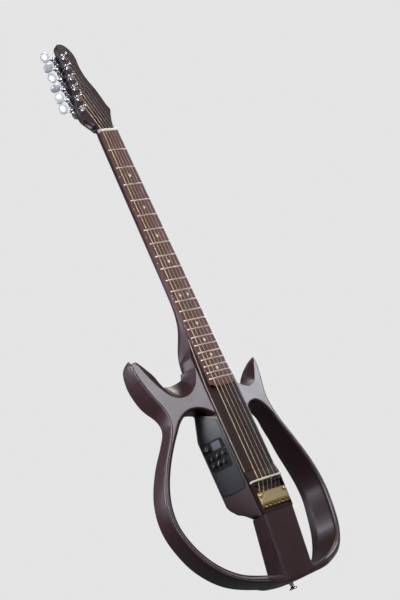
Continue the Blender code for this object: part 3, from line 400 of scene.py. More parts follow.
def about(at, *origin):
    """A placing function whose first coordinates are measured from a point."""
    return lambda a, b, out: at(origin[0] + a, origin[1] + b, out)


def is_inside_out(points, quads):
    """True where the quads' signed volume is below zero."""
    p = points[quads]
    return np.einsum("ij,ij->", p[:, 0], np.cross(p[:, 1], p[:, 2]) + np.cross(p[:, 2], p[:, 3])) < 0


def shell_mesh(name, shells, sharp):
    """Mesh of one or more shells, each turned so that its faces point outwards, with its own UV map."""
    points, faces, uvs, start = [], [], [], 0
    for shell in shells:
        spots, quads, caps, uv = shell
        centre = spots.mean(0)
        flip = is_inside_out(spots - centre, quads) if len(caps) < 3 else False
        points.append(spots)
        order = -1 if flip else 1
        faces += (quads[:, ::order] + start).tolist()
        faces += [[start + k for k in cap[::order]] for cap in caps]
        uvs.append(uv[:, ::order].reshape(-1, 2))
        uvs.append(np.zeros((sum(len(cap) for cap in caps), 2)))
        start += len(spots)
    mesh = bpy.data.meshes.new(name)
    mesh.from_pydata(np.vstack(points).tolist(), [], faces)
    layer = mesh.uv_layers.new(name="surface")
    layer.data.foreach_set("uv", np.vstack(uvs).ravel())
    mesh.shade_smooth()
    mesh.set_sharp_from_angle(angle=math.radians(sharp))
    return mesh


def piece(name, shells, material, body, slot, *replaced, sharp=38.0):
    """Adds a finished piece that rides on a body and takes the place of solid nodes."""
    mesh = shell_mesh(name, shells if isinstance(shells, list) else [shells], sharp)
    obj = bpy.data.objects.new(name, mesh)
    bpy.context.scene.collection.objects.link(obj)
    mesh.materials.append(bpy.data.materials[material])
    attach(obj, body)
    if replaced:
        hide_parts(*replaced)
    return obj


def carve(obj, *cutters):
    """Cuts the shells out of a piece."""
    for number, shell in enumerate(cutters):
        tool = bpy.data.objects.new(f"{obj.name}_cutter_{number}", shell_mesh("cutter", [shell], 30.0))
        bpy.context.scene.collection.objects.link(tool)
        cut = obj.modifiers.new("cut", "BOOLEAN")
        cut.operation = "DIFFERENCE"
        cut.solver = "EXACT"
        cut.object = tool
        bpy.context.view_layer.update()
        mesh = bpy.data.meshes.new_from_object(obj.evaluated_get(bpy.context.evaluated_depsgraph_get()))
        obj.modifiers.clear()
        obj.data = mesh
        bpy.data.objects.remove(tool)
    obj.data.set_sharp_from_angle(angle=math.radians(38.0))


class Tree:
    """Adds nodes to a material or a group: each input is a number, a colour or another node's socket."""

    def __init__(self, tree):
        self.tree = tree
        tree.nodes.clear()

    def add(self, kind, inputs=None, out=0, **settings):
        node = self.tree.nodes.new(kind)
        for name, value in settings.items():
            setattr(node, name, value)
        for name, value in (inputs or {}).items():
            socket = node.inputs[name]
            if isinstance(value, bpy.types.NodeSocket):
                self.tree.links.new(value, socket)
            elif socket.type == "RGBA" and len(value) == 3:
                socket.default_value = (*value, 1.0)
            else:
                socket.default_value = value
        return node.outputs[out] if len(node.outputs) else None

    def math(self, operation, a, b=0.0, clamp=False):
        return self.add("ShaderNodeMath", {0: a, 1: b}, operation=operation, use_clamp=clamp)

    def ramp(self, value, low, high, to_low=0.0, to_high=1.0):
        return self.add("ShaderNodeMapRange", {"Value": value, "From Min": low, "From Max": high,
                                               "To Min": to_low, "To Max": to_high})

    def blend(self, share, one, other, blend_type="MIX"):
        node = self.tree.nodes.new("ShaderNodeMix")
        node.data_type = "RGBA"
        node.blend_type = blend_type
        for index, value in ((0, share), (6, one), (7, other)):
            if isinstance(value, bpy.types.NodeSocket):
                self.tree.links.new(value, node.inputs[index])
            else:
                node.inputs[index].default_value = (*value, 1.0) if index else value
        return node.outputs[2]

    def noise(self, vector, scale, detail=3.0, roughness=0.5):
        return self.add("ShaderNodeTexNoise", {"Vector": vector, "Scale": scale, "Detail": detail,
                                               "Roughness": roughness})


def group(name, inputs, outputs):
    """Empty node group with named sockets, and its maker, its inputs and its output node."""
    tree = bpy.data.node_groups.new(name, "ShaderNodeTree")
    kinds = {"v": "NodeSocketVector", "c": "NodeSocketColor", "f": "NodeSocketFloat"}
    for label, kind, value in inputs:
        socket = tree.interface.new_socket(label, in_out="INPUT", socket_type=kinds[kind])
        if value is not None:
            socket.default_value = value
    for label, kind in outputs:
        tree.interface.new_socket(label, in_out="OUTPUT", socket_type=kinds[kind])
    maker = Tree(tree)
    given = tree.nodes.new("NodeGroupInput").outputs
    result = tree.nodes.new("NodeGroupOutput")
    return maker, given, result


def send(maker, result, **sockets):
    for label, socket in sockets.items():
        maker.tree.links.new(socket, result.inputs[label.replace("_", " ")])


def make_wood_figure():
    """Long streaks and short pores, both drawn out along the grain, in two tones."""
    maker, given, result = group("wood figure", (("Vector", "v", None), ("Base", "c", (0.1, 0.05, 0.04, 1)),
                                                 ("Dark", "c", (0.03, 0.02, 0.02, 1)), ("Scale", "f", 1.0),
                                                 ("Contrast", "f", 0.5), ("Pores", "f", 0.5)),
                                 (("Color", "c"), ("Height", "f"), ("Mask", "f")))
    spot = maker.add("ShaderNodeVectorMath", {0: given["Vector"], 3: given["Scale"]}, operation="SCALE")
    wander = maker.noise(spot, 9.0, 2.0)
    bent = maker.add("ShaderNodeVectorMath", {0: spot, 1: maker.add("ShaderNodeVectorMath", {
        0: wander, 1: (0.012, 0.012, 0.0)}, operation="MULTIPLY")}, operation="ADD")
    streaks = maker.noise(maker.add("ShaderNodeMapping", {"Vector": bent, "Scale": (260.0, 260.0, 7.0)}), 1.0, 4.0)
    cloud = maker.noise(maker.add("ShaderNodeMapping", {"Vector": bent, "Scale": (34.0, 34.0, 3.0)}), 1.0, 2.0)
    pores = maker.noise(maker.add("ShaderNodeMapping", {"Vector": bent, "Scale": (1500.0, 1500.0, 85.0)}), 1.0, 1.0)
    pore = maker.ramp(pores, 0.60, 0.68)
    tone = maker.math("MULTIPLY", maker.math("ADD", maker.ramp(streaks, 0.32, 0.68), maker.ramp(cloud, 0.3, 0.7)),
                      maker.math("MULTIPLY", given["Contrast"], 0.5), True)
    deep = maker.math("MULTIPLY", pore, given["Pores"], True)
    shade = maker.math("MAXIMUM", tone, deep, True)
    send(maker, result, Color=maker.blend(shade, given["Base"], given["Dark"]),
         Height=maker.math("SUBTRACT", maker.math("MULTIPLY", streaks, 0.25), deep), Mask=deep)


def make_handling():
    """Roughness that wanders a little, as on a surface that is touched and wiped."""
    maker, given, result = group("handling", (("Vector", "v", None), ("Roughness", "f", 0.4),
                                              ("Spread", "f", 0.06), ("Scale", "f", 30.0)),
                                 (("Roughness", "f"), ("Dust", "f")))
    wide = maker.noise(given["Vector"], given["Scale"], 4.0, 0.6)
    fine = maker.noise(given["Vector"], maker.math("MULTIPLY", given["Scale"], 14.0), 2.0)
    mixed = maker.math("ADD", maker.math("MULTIPLY", wide, 0.75), maker.math("MULTIPLY", fine, 0.25))
    change = maker.math("MULTIPLY", maker.math("SUBTRACT", mixed, 0.5), maker.math("MULTIPLY", given["Spread"], 4.0))
    send(maker, result, Roughness=maker.math("ADD", given["Roughness"], change, True),
         Dust=maker.ramp(fine, 0.62, 0.78))


def make_brushing():
    """Fine parallel scratches along one axis, for brushed and drawn metal."""
    maker, given, result = group("brushing", (("Vector", "v", None), ("Stretch", "v", (40.0, 4000.0, 4000.0)),
                                              ("Roughness", "f", 0.3), ("Spread", "f", 0.12)),
                                 (("Roughness", "f"), ("Height", "f")))
    lines = maker.noise(maker.add("ShaderNodeVectorMath", {0: given["Vector"], 1: given["Stretch"]},
                                  operation="MULTIPLY"), 1.0, 2.0)
    send(maker, result, Roughness=maker.math("ADD", given["Roughness"], maker.math(
        "MULTIPLY", maker.math("SUBTRACT", lines, 0.5), given["Spread"]), True), Height=lines)


def make_moulding():
    """Fine even grain of moulded plastic."""
    maker, given, result = group("moulding", (("Vector", "v", None), ("Scale", "f", 1800.0)), (("Height", "f"),))
    cells = maker.add("ShaderNodeTexVoronoi", {"Vector": given["Vector"], "Scale": given["Scale"]})
    fine = maker.noise(given["Vector"], maker.math("MULTIPLY", given["Scale"], 0.6), 2.0)
    send(maker, result, Height=maker.math("ADD", cells, fine))


def use(maker, name, inputs, out):
    """Places a node group with its own values and gives one of its outputs."""
    node = maker.tree.nodes.new("ShaderNodeGroup")
    node.node_tree = bpy.data.node_groups[name]
    for label, value in inputs.items():
        socket = node.inputs[label]
        if isinstance(value, bpy.types.NodeSocket):
            maker.tree.links.new(value, socket)
        elif socket.type == "RGBA":
            socket.default_value = (*value, 1.0)
        else:
            socket.default_value = value
    return [node.outputs[label] for label in out]


def finish_of(name, uv=False):
    """New material: its maker and the vector that its pattern reads, object space or the piece's own map."""
    material = bpy.data.materials.new(name)
    material.use_nodes = True
    maker = Tree(material.node_tree)
    if uv:
        return maker, maker.add("ShaderNodeUVMap", uv_map="surface")
    return maker, maker.add("ShaderNodeTexCoord", out=3)


def close(maker, **sockets):
    """Principled shader with the given sockets, joined to the material's output."""
    shader = maker.tree.nodes.new("ShaderNodeBsdfPrincipled")
    names = {"color": "Base Color", "coat": "Coat Weight", "coat_roughness": "Coat Roughness",
             "specular": "Specular IOR Level", "transmission": "Transmission Weight", "ior": "IOR",
             "sheen": "Sheen Weight", "sheen_roughness": "Sheen Roughness"}
    for label, value in sockets.items():
        socket = shader.inputs[names.get(label, label.title())]
        if isinstance(value, bpy.types.NodeSocket):
            maker.tree.links.new(value, socket)
        elif socket.type == "RGBA":
            socket.default_value = (*value, 1.0)
        else:
            socket.default_value = value
    maker.add("ShaderNodeOutputMaterial", {"Surface": shader.outputs[0]})


def bump(maker, height, strength, distance=0.0001):
    return maker.add("ShaderNodeBump", {"Height": height, "Strength": strength, "Distance": distance})


def wood(name, base, dark, roughness, coat, contrast=0.6, pores=0.5, scale=1.0, uv=False, relief=0.25,
         specular=0.5):
    """Satin lacquered wood. A bent piece reads its own map, so the grain follows the bend."""
    maker, vector = finish_of(name, uv)
    if uv:
        vector = maker.add("ShaderNodeMapping", {"Vector": vector, "Rotation": (0.0, math.radians(90.0), 0.0)})
    tone, height, mask = use(maker, "wood figure", {"Vector": vector, "Base": base, "Dark": dark, "Scale": scale,
                                                    "Contrast": contrast, "Pores": pores},
                             ("Color", "Height", "Mask"))
    rough, dust = use(maker, "handling", {"Vector": vector, "Roughness": roughness, "Spread": 0.05}, ("Roughness", "Dust"))
    rough = maker.math("ADD", rough, maker.math("MULTIPLY", mask, 0.12), True)
    close(maker, color=tone, roughness=rough, coat=coat, coat_roughness=0.3, specular=specular,
          normal=bump(maker, height, relief, 0.00005))


def metal(name, base, roughness, stretch, spread=0.12, relief=0.1, tint=None, metallic=1.0):
    maker, vector = finish_of(name)
    rough, height = use(maker, "brushing", {"Vector": vector, "Stretch": stretch, "Roughness": roughness,
                                            "Spread": spread}, ("Roughness", "Height"))
    smear, dust = use(maker, "handling", {"Vector": vector, "Roughness": 0.0, "Spread": 0.04, "Scale": 60.0},
                      ("Roughness", "Dust"))
    tone = maker.blend(maker.ramp(dust, 0.0, 1.0, 0.0, 0.35), base, tint or tuple(0.7 * v for v in base))
    close(maker, color=tone, metallic=metallic, roughness=maker.math("ADD", rough, smear, True),
          normal=bump(maker, height, relief, 0.00002))


def plastic(name, base, roughness, relief, scale=1800.0, coat=0.0, lift=1.25):
    maker, vector = finish_of(name)
    height, = use(maker, "moulding", {"Vector": vector, "Scale": scale}, ("Height",))
    rough, dust = use(maker, "handling", {"Vector": vector, "Roughness": roughness, "Spread": 0.06}, ("Roughness", "Dust"))
    tone = maker.blend(maker.ramp(dust, 0.0, 1.0, 0.0, 0.3), base, tuple(min(1.0, lift * v + 0.01) for v in base))
    close(maker, color=tone, roughness=rough, coat=coat, coat_roughness=0.2,
          normal=bump(maker, height, relief, 0.00003))


def wound_wire(name, base, roughness, pitch):
    """Wire wound round a core: ridges across the string, read along its own map. The colour darkens in the grooves
    between the turns: painted shade.
    """
    maker, vector = finish_of(name, True)
    parts = maker.tree.nodes.new("ShaderNodeSeparateXYZ")
    maker.tree.links.new(vector, parts.inputs[0])
    wave = maker.math("SINE", maker.math("MULTIPLY", parts.outputs[0], 2 * math.pi / (pitch * MM)))
    groove_shade = maker.ramp(wave, -1.0, -0.4, 1.0, 0.0)
    # painted shade: the colour darkens towards the grooves between the turns
    tone = maker.blend(maker.math("MULTIPLY", groove_shade, 0.5), base, tuple(0.35 * v for v in base))
    close(maker, color=tone, metallic=1.0, roughness=maker.ramp(wave, -1.0, 1.0, roughness + 0.2, roughness),
          normal=bump(maker, wave, 0.6, 0.00008))


def make_materials(tones):
    """All finishes, from the colours in the panel."""
    for make in (make_wood_figure, make_handling, make_brushing, make_moulding):
        make()
    lacquer, dark = tuple(tones.lacquer), tuple(tones.lacquer_dark)
    wood("satin wood", lacquer, dark, 0.40, 0.35, contrast=0.45, pores=0.25, relief=0.08)
    wood("bent satin wood", lacquer, dark, 0.40, 0.35, contrast=0.45, pores=0.25, relief=0.08, uv=True)
    plate_tone = tuple(tones.plate)
    wood("plate wood", plate_tone, tuple(0.4 * v for v in plate_tone), 0.48, 0.0, contrast=0.8, pores=0.9, relief=0.5,
         specular=0.2)
    rose = tuple(tones.rosewood)
    wood("rosewood", rose, (0.008, 0.005, 0.004), 0.58, 0.0, contrast=1.15, pores=1.0, scale=1.1, relief=0.5, specular=0.06)
    bone = tuple(tones.bone)
    wood("bone", bone, tuple(0.86 * v for v in bone), 0.32, 0.2, contrast=0.5, pores=0.25, scale=1.6, relief=0.1)
    metal("gold", tuple(tones.gold), 0.30, (30.0, 3500.0, 3500.0))
    metal("brushed gold", tuple(tones.gold), 0.38, (25.0, 2500.0, 2500.0), 0.3, 0.3)
    # Buttons are chrome; this copy is lifted 15 % and made half matt so the lamps light it white: painted reflection of
    # bright surroundings.
    metal("pearl chrome", tuple(min(1.0, 1.15 * v) for v in tones.chrome), 0.34, (200.0, 200.0, 200.0), 0.05, 0.02,
          metallic=0.5)
    metal("chrome", tuple(tones.chrome), 0.2, (300.0, 300.0, 300.0), 0.05, 0.02)
    metal("steel", tuple(tones.steel), 0.26, (2500.0, 2500.0, 40.0))
    metal("fret metal", tuple(min(1.0, 1.3 * v) for v in tones.steel), 0.4, (60.0, 3000.0, 3000.0), 0.1, 0.05)
    metal("dark steel", (0.05, 0.05, 0.055), 0.35, (300.0, 300.0, 300.0))
    for index in range(4):
        wound_wire(f"wound wire {index + 1}", tuple(tones.bronze), 0.28, 0.62 - 0.1 * index)
    plastic("charcoal plastic", tuple(tones.charcoal), 0.36, 0.15, coat=0.1)
    plastic("knob plastic", tuple(tones.rubber), 0.42, 0.25, 2500.0)
    plastic("bay floor", (0.003, 0.003, 0.004), 0.8, 0.3, 2200.0)
    plastic("white print", (0.62, 0.62, 0.6), 0.5, 0.0)
    plastic("pale binding", (0.40, 0.33, 0.29), 0.4, 0.02, 400.0)
    plastic("pale inlay", (0.74, 0.72, 0.66), 0.3, 0.02, 400.0, coat=0.3, lift=0.9)
    plastic("battery sleeve", tuple(tones.sleeve), 0.35, 0.05)
    plastic("circuit board", tuple(tones.board), 0.45, 0.2, 500.0, lift=2.0)
    plastic("display face", tuple(tones.display), 0.25, 0.0, lift=1.1)
    maker, vector = finish_of("display glass")
    rough, dust = use(maker, "handling", {"Vector": vector, "Roughness": 0.06, "Spread": 0.03}, ("Roughness", "Dust"))
    close(maker, color=(0.75, 0.8, 0.85), roughness=rough, transmission=1.0, ior=1.45)


def edge_fall(points, line, radius):
    """Depth of a rounded edge at each point: a quarter circle over the distance to the edge line."""
    radius = np.broadcast_to(radius, points.shape[:-1])
    flat = points.reshape(-1, 2)
    a, b = line[:-1], line[1:]
    way = b - a
    long = np.maximum((way ** 2).sum(1), 1e-9)
    share = np.clip(((flat[:, None] - a) * way).sum(2) / long, 0, 1)
    near = np.linalg.norm(flat[:, None] - (a + share[..., None] * way), axis=2).min(1).reshape(points.shape[:-1])
    reach = np.maximum(radius - near, 0)
    return radius - np.sqrt(np.maximum(radius ** 2 - reach ** 2, 0))


def patch(low, high, left, right):
    """Flat net between four border curves: the two ruled nets across and along, less the corner net."""
    t, v = run_of(low)[:, None, None], run_of(left)[None, :, None]
    ruled = (1 - v) * low[:, None] + v * high[:, None] + (1 - t) * left[None] + t * right[None]
    corners = (1 - t) * ((1 - v) * low[0] + v * high[0]) + t * ((1 - v) * low[-1] + v * high[-1])
    return ruled - corners


def run_of(path):
    """Share of its length at each point of a path."""
    run = np.concatenate([[0], np.cumsum(np.linalg.norm(np.diff(path, axis=0), axis=1))])
    return run / run[-1]


def dense_ends(count, ease=1.6):
    """Shares from 0 to 1 that lie closer together near both ends."""
    t = np.linspace(-1, 1, count)
    return 0.5 + 0.5 * np.sign(t) * (1 - (1 - np.abs(t)) ** ease)


def make_rim(word, side, outline, depths, sizes):
    """The bent outer strip: one section carried along the outline from the horn's tip to the tail.

    The section's outer front edge is a quarter ellipse, fuller towards the horn. Near the tip the whole
    section shrinks as a half circle does, so the strip ends round.
    """
    path = spread(smooth(outline), 320)
    inner = offset(path, RIM_THICK)
    inner[-1] = path[-1] - (0.0, RIM_THICK)
    deep = read(smooth(depths, 8), path[:, 1])
    run = run_of(path) * np.linalg.norm(np.diff(path, axis=0), axis=1).sum()
    nose = np.minimum(sizes.rim_round + 7.0 * (1 - step_up(run, 30.0, 120.0)), 0.4 * deep)
    soft, heel = 0.55, np.minimum(2.6, 0.3 * deep)
    turn = np.linspace(0, np.pi / 2, 9)
    across = [RIM_THICK, RIM_THICK - 0.16, RIM_THICK - soft, *(RIM_THICK - soft - 0.3) * (1 - np.sin(turn)),
              *2.0 * (1 - np.cos(turn[::2])), RIM_THICK - 0.5, RIM_THICK]
    down = [soft + 0 * deep, 0.16 + 0 * deep, 0 * deep, *[nose * (1 - math.cos(t)) for t in turn],
            *[deep - heel * (1 - math.sin(t)) for t in turn[::2]], deep, deep - 0.5]
    section = np.stack([np.stack([a + 0 * deep, d], -1) for a, d in zip(across, down)], 1)
    swell = np.sqrt(1 - (1 - np.clip(run / 9.0, 0, 1)) ** 2 * 0.94)[:, None]
    middle = section.mean(1, keepdims=True)
    section = middle + (section - middle) * swell[..., None]
    share = section[..., 0] / RIM_THICK
    u = path[:, :1] + (inner - path)[:, :1] * share
    s = path[:, 1:] + (inner - path)[:, 1:] * share
    u = np.maximum(u, GAP / 2)
    return tube(fold(side, u, s, section[..., 1], True))


def arm_depth(points, depths, tip_s):
    """Depth of the arm's back: that of the hoop outside, of the arm inside, and thinner up the horn."""
    u, s = points[..., 0], points[..., 1]
    outside = np.maximum(step_up(u, 62.0, 122.0), step_up(s, 640.0, 700.0))
    deep = ARM_DEPTH + (read(smooth(depths, 8), s) - 1.0 - ARM_DEPTH) * outside
    horn = read(smooth(HORN_DEPTH, 8), s - tip_s) + 45.0 * (1 - step_up(u, 62.0, 112.0))
    return 0.5 * (deep + horn - np.sqrt((deep - horn) ** 2 + 49.0)) + 0.5


def make_arm(name, side, outline, scoop, arch, depths, lean, sizes):
    """Arm, horn and hoop lining of one side, as one closed shell.

    The front and the back are nets over the sloping face: one between scoop and arch, and a strip that
    runs on from its foot down inside the hoop. Their depth falls off at the edges as a quarter circle,
    and walls join the two along every edge.
    """
    path = smooth(outline, 16)
    outer = offset(path, RIM_THICK + 2 * GAP)
    inner = offset(path, RIM_THICK + 2 * GAP + LINING_THICK)
    keep = outer[:, 0] > BEAM_END_HALF + 0.8
    outer, inner = outer[keep], inner[keep]
    foot = np.array(arch[0], float)
    below = inner[inner[:, 1] > foot[1] + 16][::12]
    rail = smooth([*arch[::-1], *below, inner[-1]], 12)
    foot_at = int(np.argmin(np.linalg.norm(rail - foot, axis=1)))
    arch_line, lining = rail[:foot_at + 1], rail[foot_at:]
    level = int(np.argmin(np.linalg.norm(outer - foot, axis=1)))
    tip = np.array(scoop[0], float)
    horn = np.vstack([tip, outer[:level + 1][outer[:level + 1, 1] > tip[1] + 1.5]])
    fine = np.array([0, 0.03, 0.07, 0.13, 0.2, 0.3, 0.42, 0.55, 0.68, 0.8, 0.88, 0.93, 0.965, 0.985, 1.0])
    arch_line = spread(arch_line, 70)
    foot = arch_line[-1]
    cut = foot + (outer[level] - foot) * fine[:, None]
    high = np.vstack([arch_line, cut[1:]])
    along = run_of(high)
    low = spread(smooth(scoop[::-1], 14), along)
    across = dense_ends(46)
    left = spread([low[0], high[0]], across)
    right = spread(horn, across)
    back_low = low.copy()
    back_low[:, 1] -= lean * np.sin(np.pi * run_of(low)) ** 0.8
    inner_strip, outer_strip = spread(lining, 170), spread(outer[level:], 170)

    def strip():
        return inner_strip[:, None] + (outer_strip - inner_strip)[:, None] * fine[None, :, None]

    border = np.vstack([low[:-1], right])
    rail_line = spread(np.vstack([arch_line, lining[1:]]), 260)
    rim_line = spread(np.vstack([horn, outer[level:]]), 300)

    def front_depth(points):
        arch_share = step_up(points[..., 0], 60.0, 118.0)
        lining = sizes.lining_round * (1.5 if side < 0 else 1.0)
        inside = sizes.arch_round + (lining - sizes.arch_round) * arch_share
        depth = edge_fall(points, rail_line, inside)
        depth = np.maximum(depth, edge_fall(points, rim_line, 0.7))
        return np.maximum(depth, edge_fall(points, low, sizes.scoop_round))

    def back_depth(points, scoop_edge):
        depth = arm_depth(points, depths, tip[1])
        fall = edge_fall(points, rail_line, 3.0)
        fall = np.maximum(fall, edge_fall(points, rim_line, 1.0))
        fall = np.maximum(fall, edge_fall(points, scoop_edge, 3.0))
        return depth - np.minimum(fall, 0.3 * depth)

    front = patch(low, high, left, right)
    back = patch(back_low, high, spread([back_low[0], high[0]], across), right)
    tucked = back - np.stack([12.0 * (1 - step_up(back[..., 0], 39.0, 62.0)), 0 * back[..., 0]], -1)
    fronts = ((front, front_depth(front)), (strip(), front_depth(strip())))
    backs = ((tucked, back_depth(back, back_low)), (strip(), back_depth(strip(), back_low)))
    nets = [fold(side, net[..., 0], net[..., 1], depth, False if k == 0 else True)
            for k, (net, depth) in enumerate(fronts)]
    rear = [fold(side, net[..., 0], net[..., 1], depth, False if k == 0 else True)
            for k, (net, depth) in enumerate(backs)]
    shells = [sheet(net) for net in (*nets, *rear)]
    arch_count = len(arch_line)
    edges = ((nets[0][:, 0], rear[0][:, 0]), (nets[0][:arch_count, -1], rear[0][:arch_count, -1]),
             (nets[0][0], rear[0][0]), (nets[0][-1], rear[0][-1]), (nets[1][:, 0], rear[1][:, 0]),
             (nets[1][:, -1], rear[1][:, -1]), (nets[1][-1], rear[1][-1]))
    for near, far in edges:
        share = np.linspace(0, 1, 9)[:, None, None]
        shells.append(sheet(near[None] * (1 - share) + far[None] * share))
    return weld(name, shells)


def sheet(net):
    """Open shell over a net of points, mapped by its lengths along and across."""
    net = np.asarray(net, float)
    n, m = net.shape[:2]
    i, k = np.meshgrid(np.arange(n - 1), np.arange(m - 1), indexing="ij")
    a = i * m + k
    quads = np.stack([a, a + 1, a + m + 1, a + m], -1).reshape(-1, 4)
    u = np.concatenate([[0], np.cumsum(np.linalg.norm(np.diff(net, axis=0), axis=-1).mean(1))])
    v = np.concatenate([[0], np.cumsum(np.linalg.norm(np.diff(net, axis=1), axis=-1).mean(0))])
    uv = np.stack([np.stack([u[i + p], v[k + q]], -1) for p, q in ((0, 0), (0, 1), (1, 1), (1, 0))], 2)
    return net.reshape(-1, 3), quads, [], uv.reshape(-1, 4, 2)


def weld(name, shells, sharp=38.0):
    """One closed mesh from open shells that meet edge to edge, with its faces turned out."""
    points = np.vstack([shell[0] for shell in shells])
    starts = np.cumsum([0] + [len(shell[0]) for shell in shells])
    quads = np.vstack([shell[1] + start for shell, start in zip(shells, starts)])
    mesh = bpy.data.meshes.new(name)
    mesh.from_pydata(points.tolist(), [], quads.tolist())
    layer = mesh.uv_layers.new(name="surface")
    layer.data.foreach_set("uv", np.vstack([shell[3].reshape(-1, 2) for shell in shells]).ravel())
    shape = bmesh.new()
    shape.from_mesh(mesh)
    bmesh.ops.remove_doubles(shape, verts=shape.verts, dist=2e-6)
    bmesh.ops.dissolve_degenerate(shape, edges=shape.edges, dist=1e-7)
    bmesh.ops.recalc_face_normals(shape, faces=shape.faces)
    shape.to_mesh(mesh)
    shape.free()
    mesh.shade_smooth()
    mesh.set_sharp_from_angle(angle=math.radians(sharp))
    return mesh


def mesh_piece(name, mesh, material, body, slot, *replaced):
    obj = bpy.data.objects.new(name, mesh)
    bpy.context.scene.collection.objects.link(obj)
    mesh.materials.append(bpy.data.materials[material])
    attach(obj, body)
    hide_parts(*replaced)
    return obj


class Build(bpy.types.Operator):
    """Base of the operators below, with the sizes and colours from the panel."""
    bl_options = {"REGISTER", "UNDO"}

    def execute(self, context):
        self.build(context.scene.guitar_sizes, context.scene.guitar_colours)
        return {"FINISHED"}


class GUITAR_OT_finishes(Build):
    """Make the finishes."""
    bl_idname = "guitar.finishes"
    bl_label = "Finishes"

    def build(self, sizes, tones):
        make_materials(tones)


class GUITAR_OT_body(Build):
    """Build the hoop, the arms, the core, the plate and the lower beam."""
    bl_idname = "guitar.body"
    bl_label = "Body"

    def build(self, sizes, tones):
        for word, side, outline, scoop, arch, depths, lean in SIDES:
            piece(f"{word}_hoop", make_rim(word, side, outline, depths, sizes), "bent satin wood", "guitar",
                  "satin_wood", f"{word}_rim", sharp=50.0)
            mesh = make_arm(f"{word}_arm", side, outline, scoop, arch, depths, lean, sizes)
            mesh_piece(f"{word}_arm", mesh, "bent satin wood", "guitar", "satin_wood", f"{word}_wing")
        self.core()
        self.plate(sizes)
        self.beam()

    def core(self):
        """Cross-section of the core, which swells into the pod behind the panel, carried down its length."""
        s = np.unique(np.concatenate([[NECK_END + 0.02], np.arange(NECK_END + 2.0, CORE_END, 3.0),
                                      [CORE_END],
                                      np.linspace(PANEL_TOP - POD_RISE - 2, PANEL_TOP - POD_RISE + 4, 13)]))
        start = PANEL_TOP - POD_RISE
        grow = np.interp(s, (start - 2, start), (0.0, 1.0))
        back = read(POD_BACK, s)
        below = np.clip(s - start, 0, 4.0)
        reach = read(POD_REACH, s) - 4.0 + np.sqrt(16.0 - (4.0 - below) ** 2)
        c, t = math.cos(PANEL_LEAN), math.sin(PANEL_LEAN)
        pod_x, pod_h = PANEL_FRONT[0] - reach * t, PANEL_FRONT[1] - reach * c
        face_h = PANEL_FRONT[1] + 1.5 * c
        pod_back = np.minimum(pod_x + POD_UNDERCUT * (pod_h + back), -30.0)
        x_foot = -CORE_HALF + (pod_x + CORE_HALF) * grow
        h_foot = -back + 5 + (pod_h + back - 5) * grow
        x_back = -CORE_HALF + 4 + (pod_back + CORE_HALF - 4) * grow
        slant = ((NECK_END, NECK_END), (480.0, 480.0), (start - 2, start - 2 + POD_SLANT),
                 (start, start + POD_SLANT), (PANEL_SHOULDER, PANEL_SHOULDER), (CORE_END, CORE_END))
        front_s = read(slant, s)
        one = np.ones(len(s))
        x = (-CORE_HALF * one, -CORE_HALF * one, x_foot, x_back, CORE_HALF - 6 * one, CORE_HALF * one,
             CORE_HALF * one)
        down = (front_s, front_s, s, s, s, s, s)
        h = (-CORE_FRONT * one, face_h * one, h_foot, -back, -back, -back + 8, -CORE_FRONT * one)
        section = np.stack([np.stack(x, -1), np.stack(down, -1), np.stack(h, -1)], -1)
        x, down, h = np.moveaxis(rounded(section, np.array([0.8, 0.5, 1.6, 9.0, 8.0, 6.0, 0.8]) + 0 * one[:, None], 7),
                                 -1, 0)
        heel = 1 - step_up(s, NECK_END, NECK_END + CORE_BLEND)[:, None]
        seat, power = BOARD_THICK + GAP, 2 / NECK_STATIONS[-1][2]
        deep = NECK_STATIONS[-1][1] - seat
        grow = (np.abs(x / CORE_HALF) ** power + np.abs((h + seat) / deep) ** power) ** (-1 / power) - 1
        rings = place(x * (1 + grow * heel), down, h + (h + seat) * grow * heel)
        core = piece("core", tube(rings), "satin wood", "guitar", "satin_wood", "core_body")
        wide, deep, long = (size / 2 + 0.5 for size in BATTERY)
        bx, bs = BATTERY_MIDDLE
        seat = plate(panel_outline(GAP), over_panel, -PANEL_THICK - GAP, 6.0, 0.0, 0.0, steps=1)
        pocket = plate(box_outline(bx - wide, bs - long, bx + wide, bs + long, 2.0),
                       lambda x, s, out: place(x, s, out), -CORE_DEPTH - 4, -CORE_DEPTH + 2 * deep, 0.0, 0.0, steps=1)
        left, right = 4.0, PANEL_WIDE - 5.0
        board = plate(box_outline(left, PANEL_SHOULDER + 2, right, PANEL_BOTTOM - 15, 1.0), over_panel,
                      -BOARD_DEEP - BOARD_HIGH - GAP, 2.0, 0.0, 0.0, steps=1)
        bores = [turned(about(over_back, x, s), ((JACK_RADIUS + GAP, 3), (JACK_RADIUS + GAP, -JACK_LONG - 1)), 32)
                 for name, x, s, bore in JACKS]
        carve(core, seat, pocket, board, *bores)

    def plate(self, sizes):
        low, high = -PLATE_TOP - PLATE_THICK, -PLATE_TOP
        s = np.linspace(PLATE_START, PLATE_END, 60)
        top = float(board_half(PLATE_START)) + PLATE_BESIDE_BOARD
        half = np.interp(s, (PLATE_START, PLATE_SHOULDER), (top, PLATE_HALF))
        inner = half - sizes.binding - 0.04
        outline = np.vstack([np.stack([inner, s], -1), np.stack([-inner, s], -1)[::-1]])
        step = high - 1.2
        full = np.vstack([np.stack([half - 0.05, s], -1), np.stack([0.05 - half, s], -1)[::-1]])
        boards = [plate(full, place, low, step, 0.0, 0.3), plate(outline, place, step - 0.1, high, 0.15, 0.0)]
        piece("plate_board", boards, "plate wood", "guitar", "plate_wood", "top_plate")
        strips = []
        for side in (-1, 1):
            x = side * np.stack([half - sizes.binding, half - sizes.binding, half - 0.3, half, half], -1)
            h = np.array((step, high, high, high - 0.3, step)) + 0 * x
            strips.append(tube(place(x, s[:, None], h)))
        piece("plate_binding", strips, "pale binding", "guitar", "plate_wood")

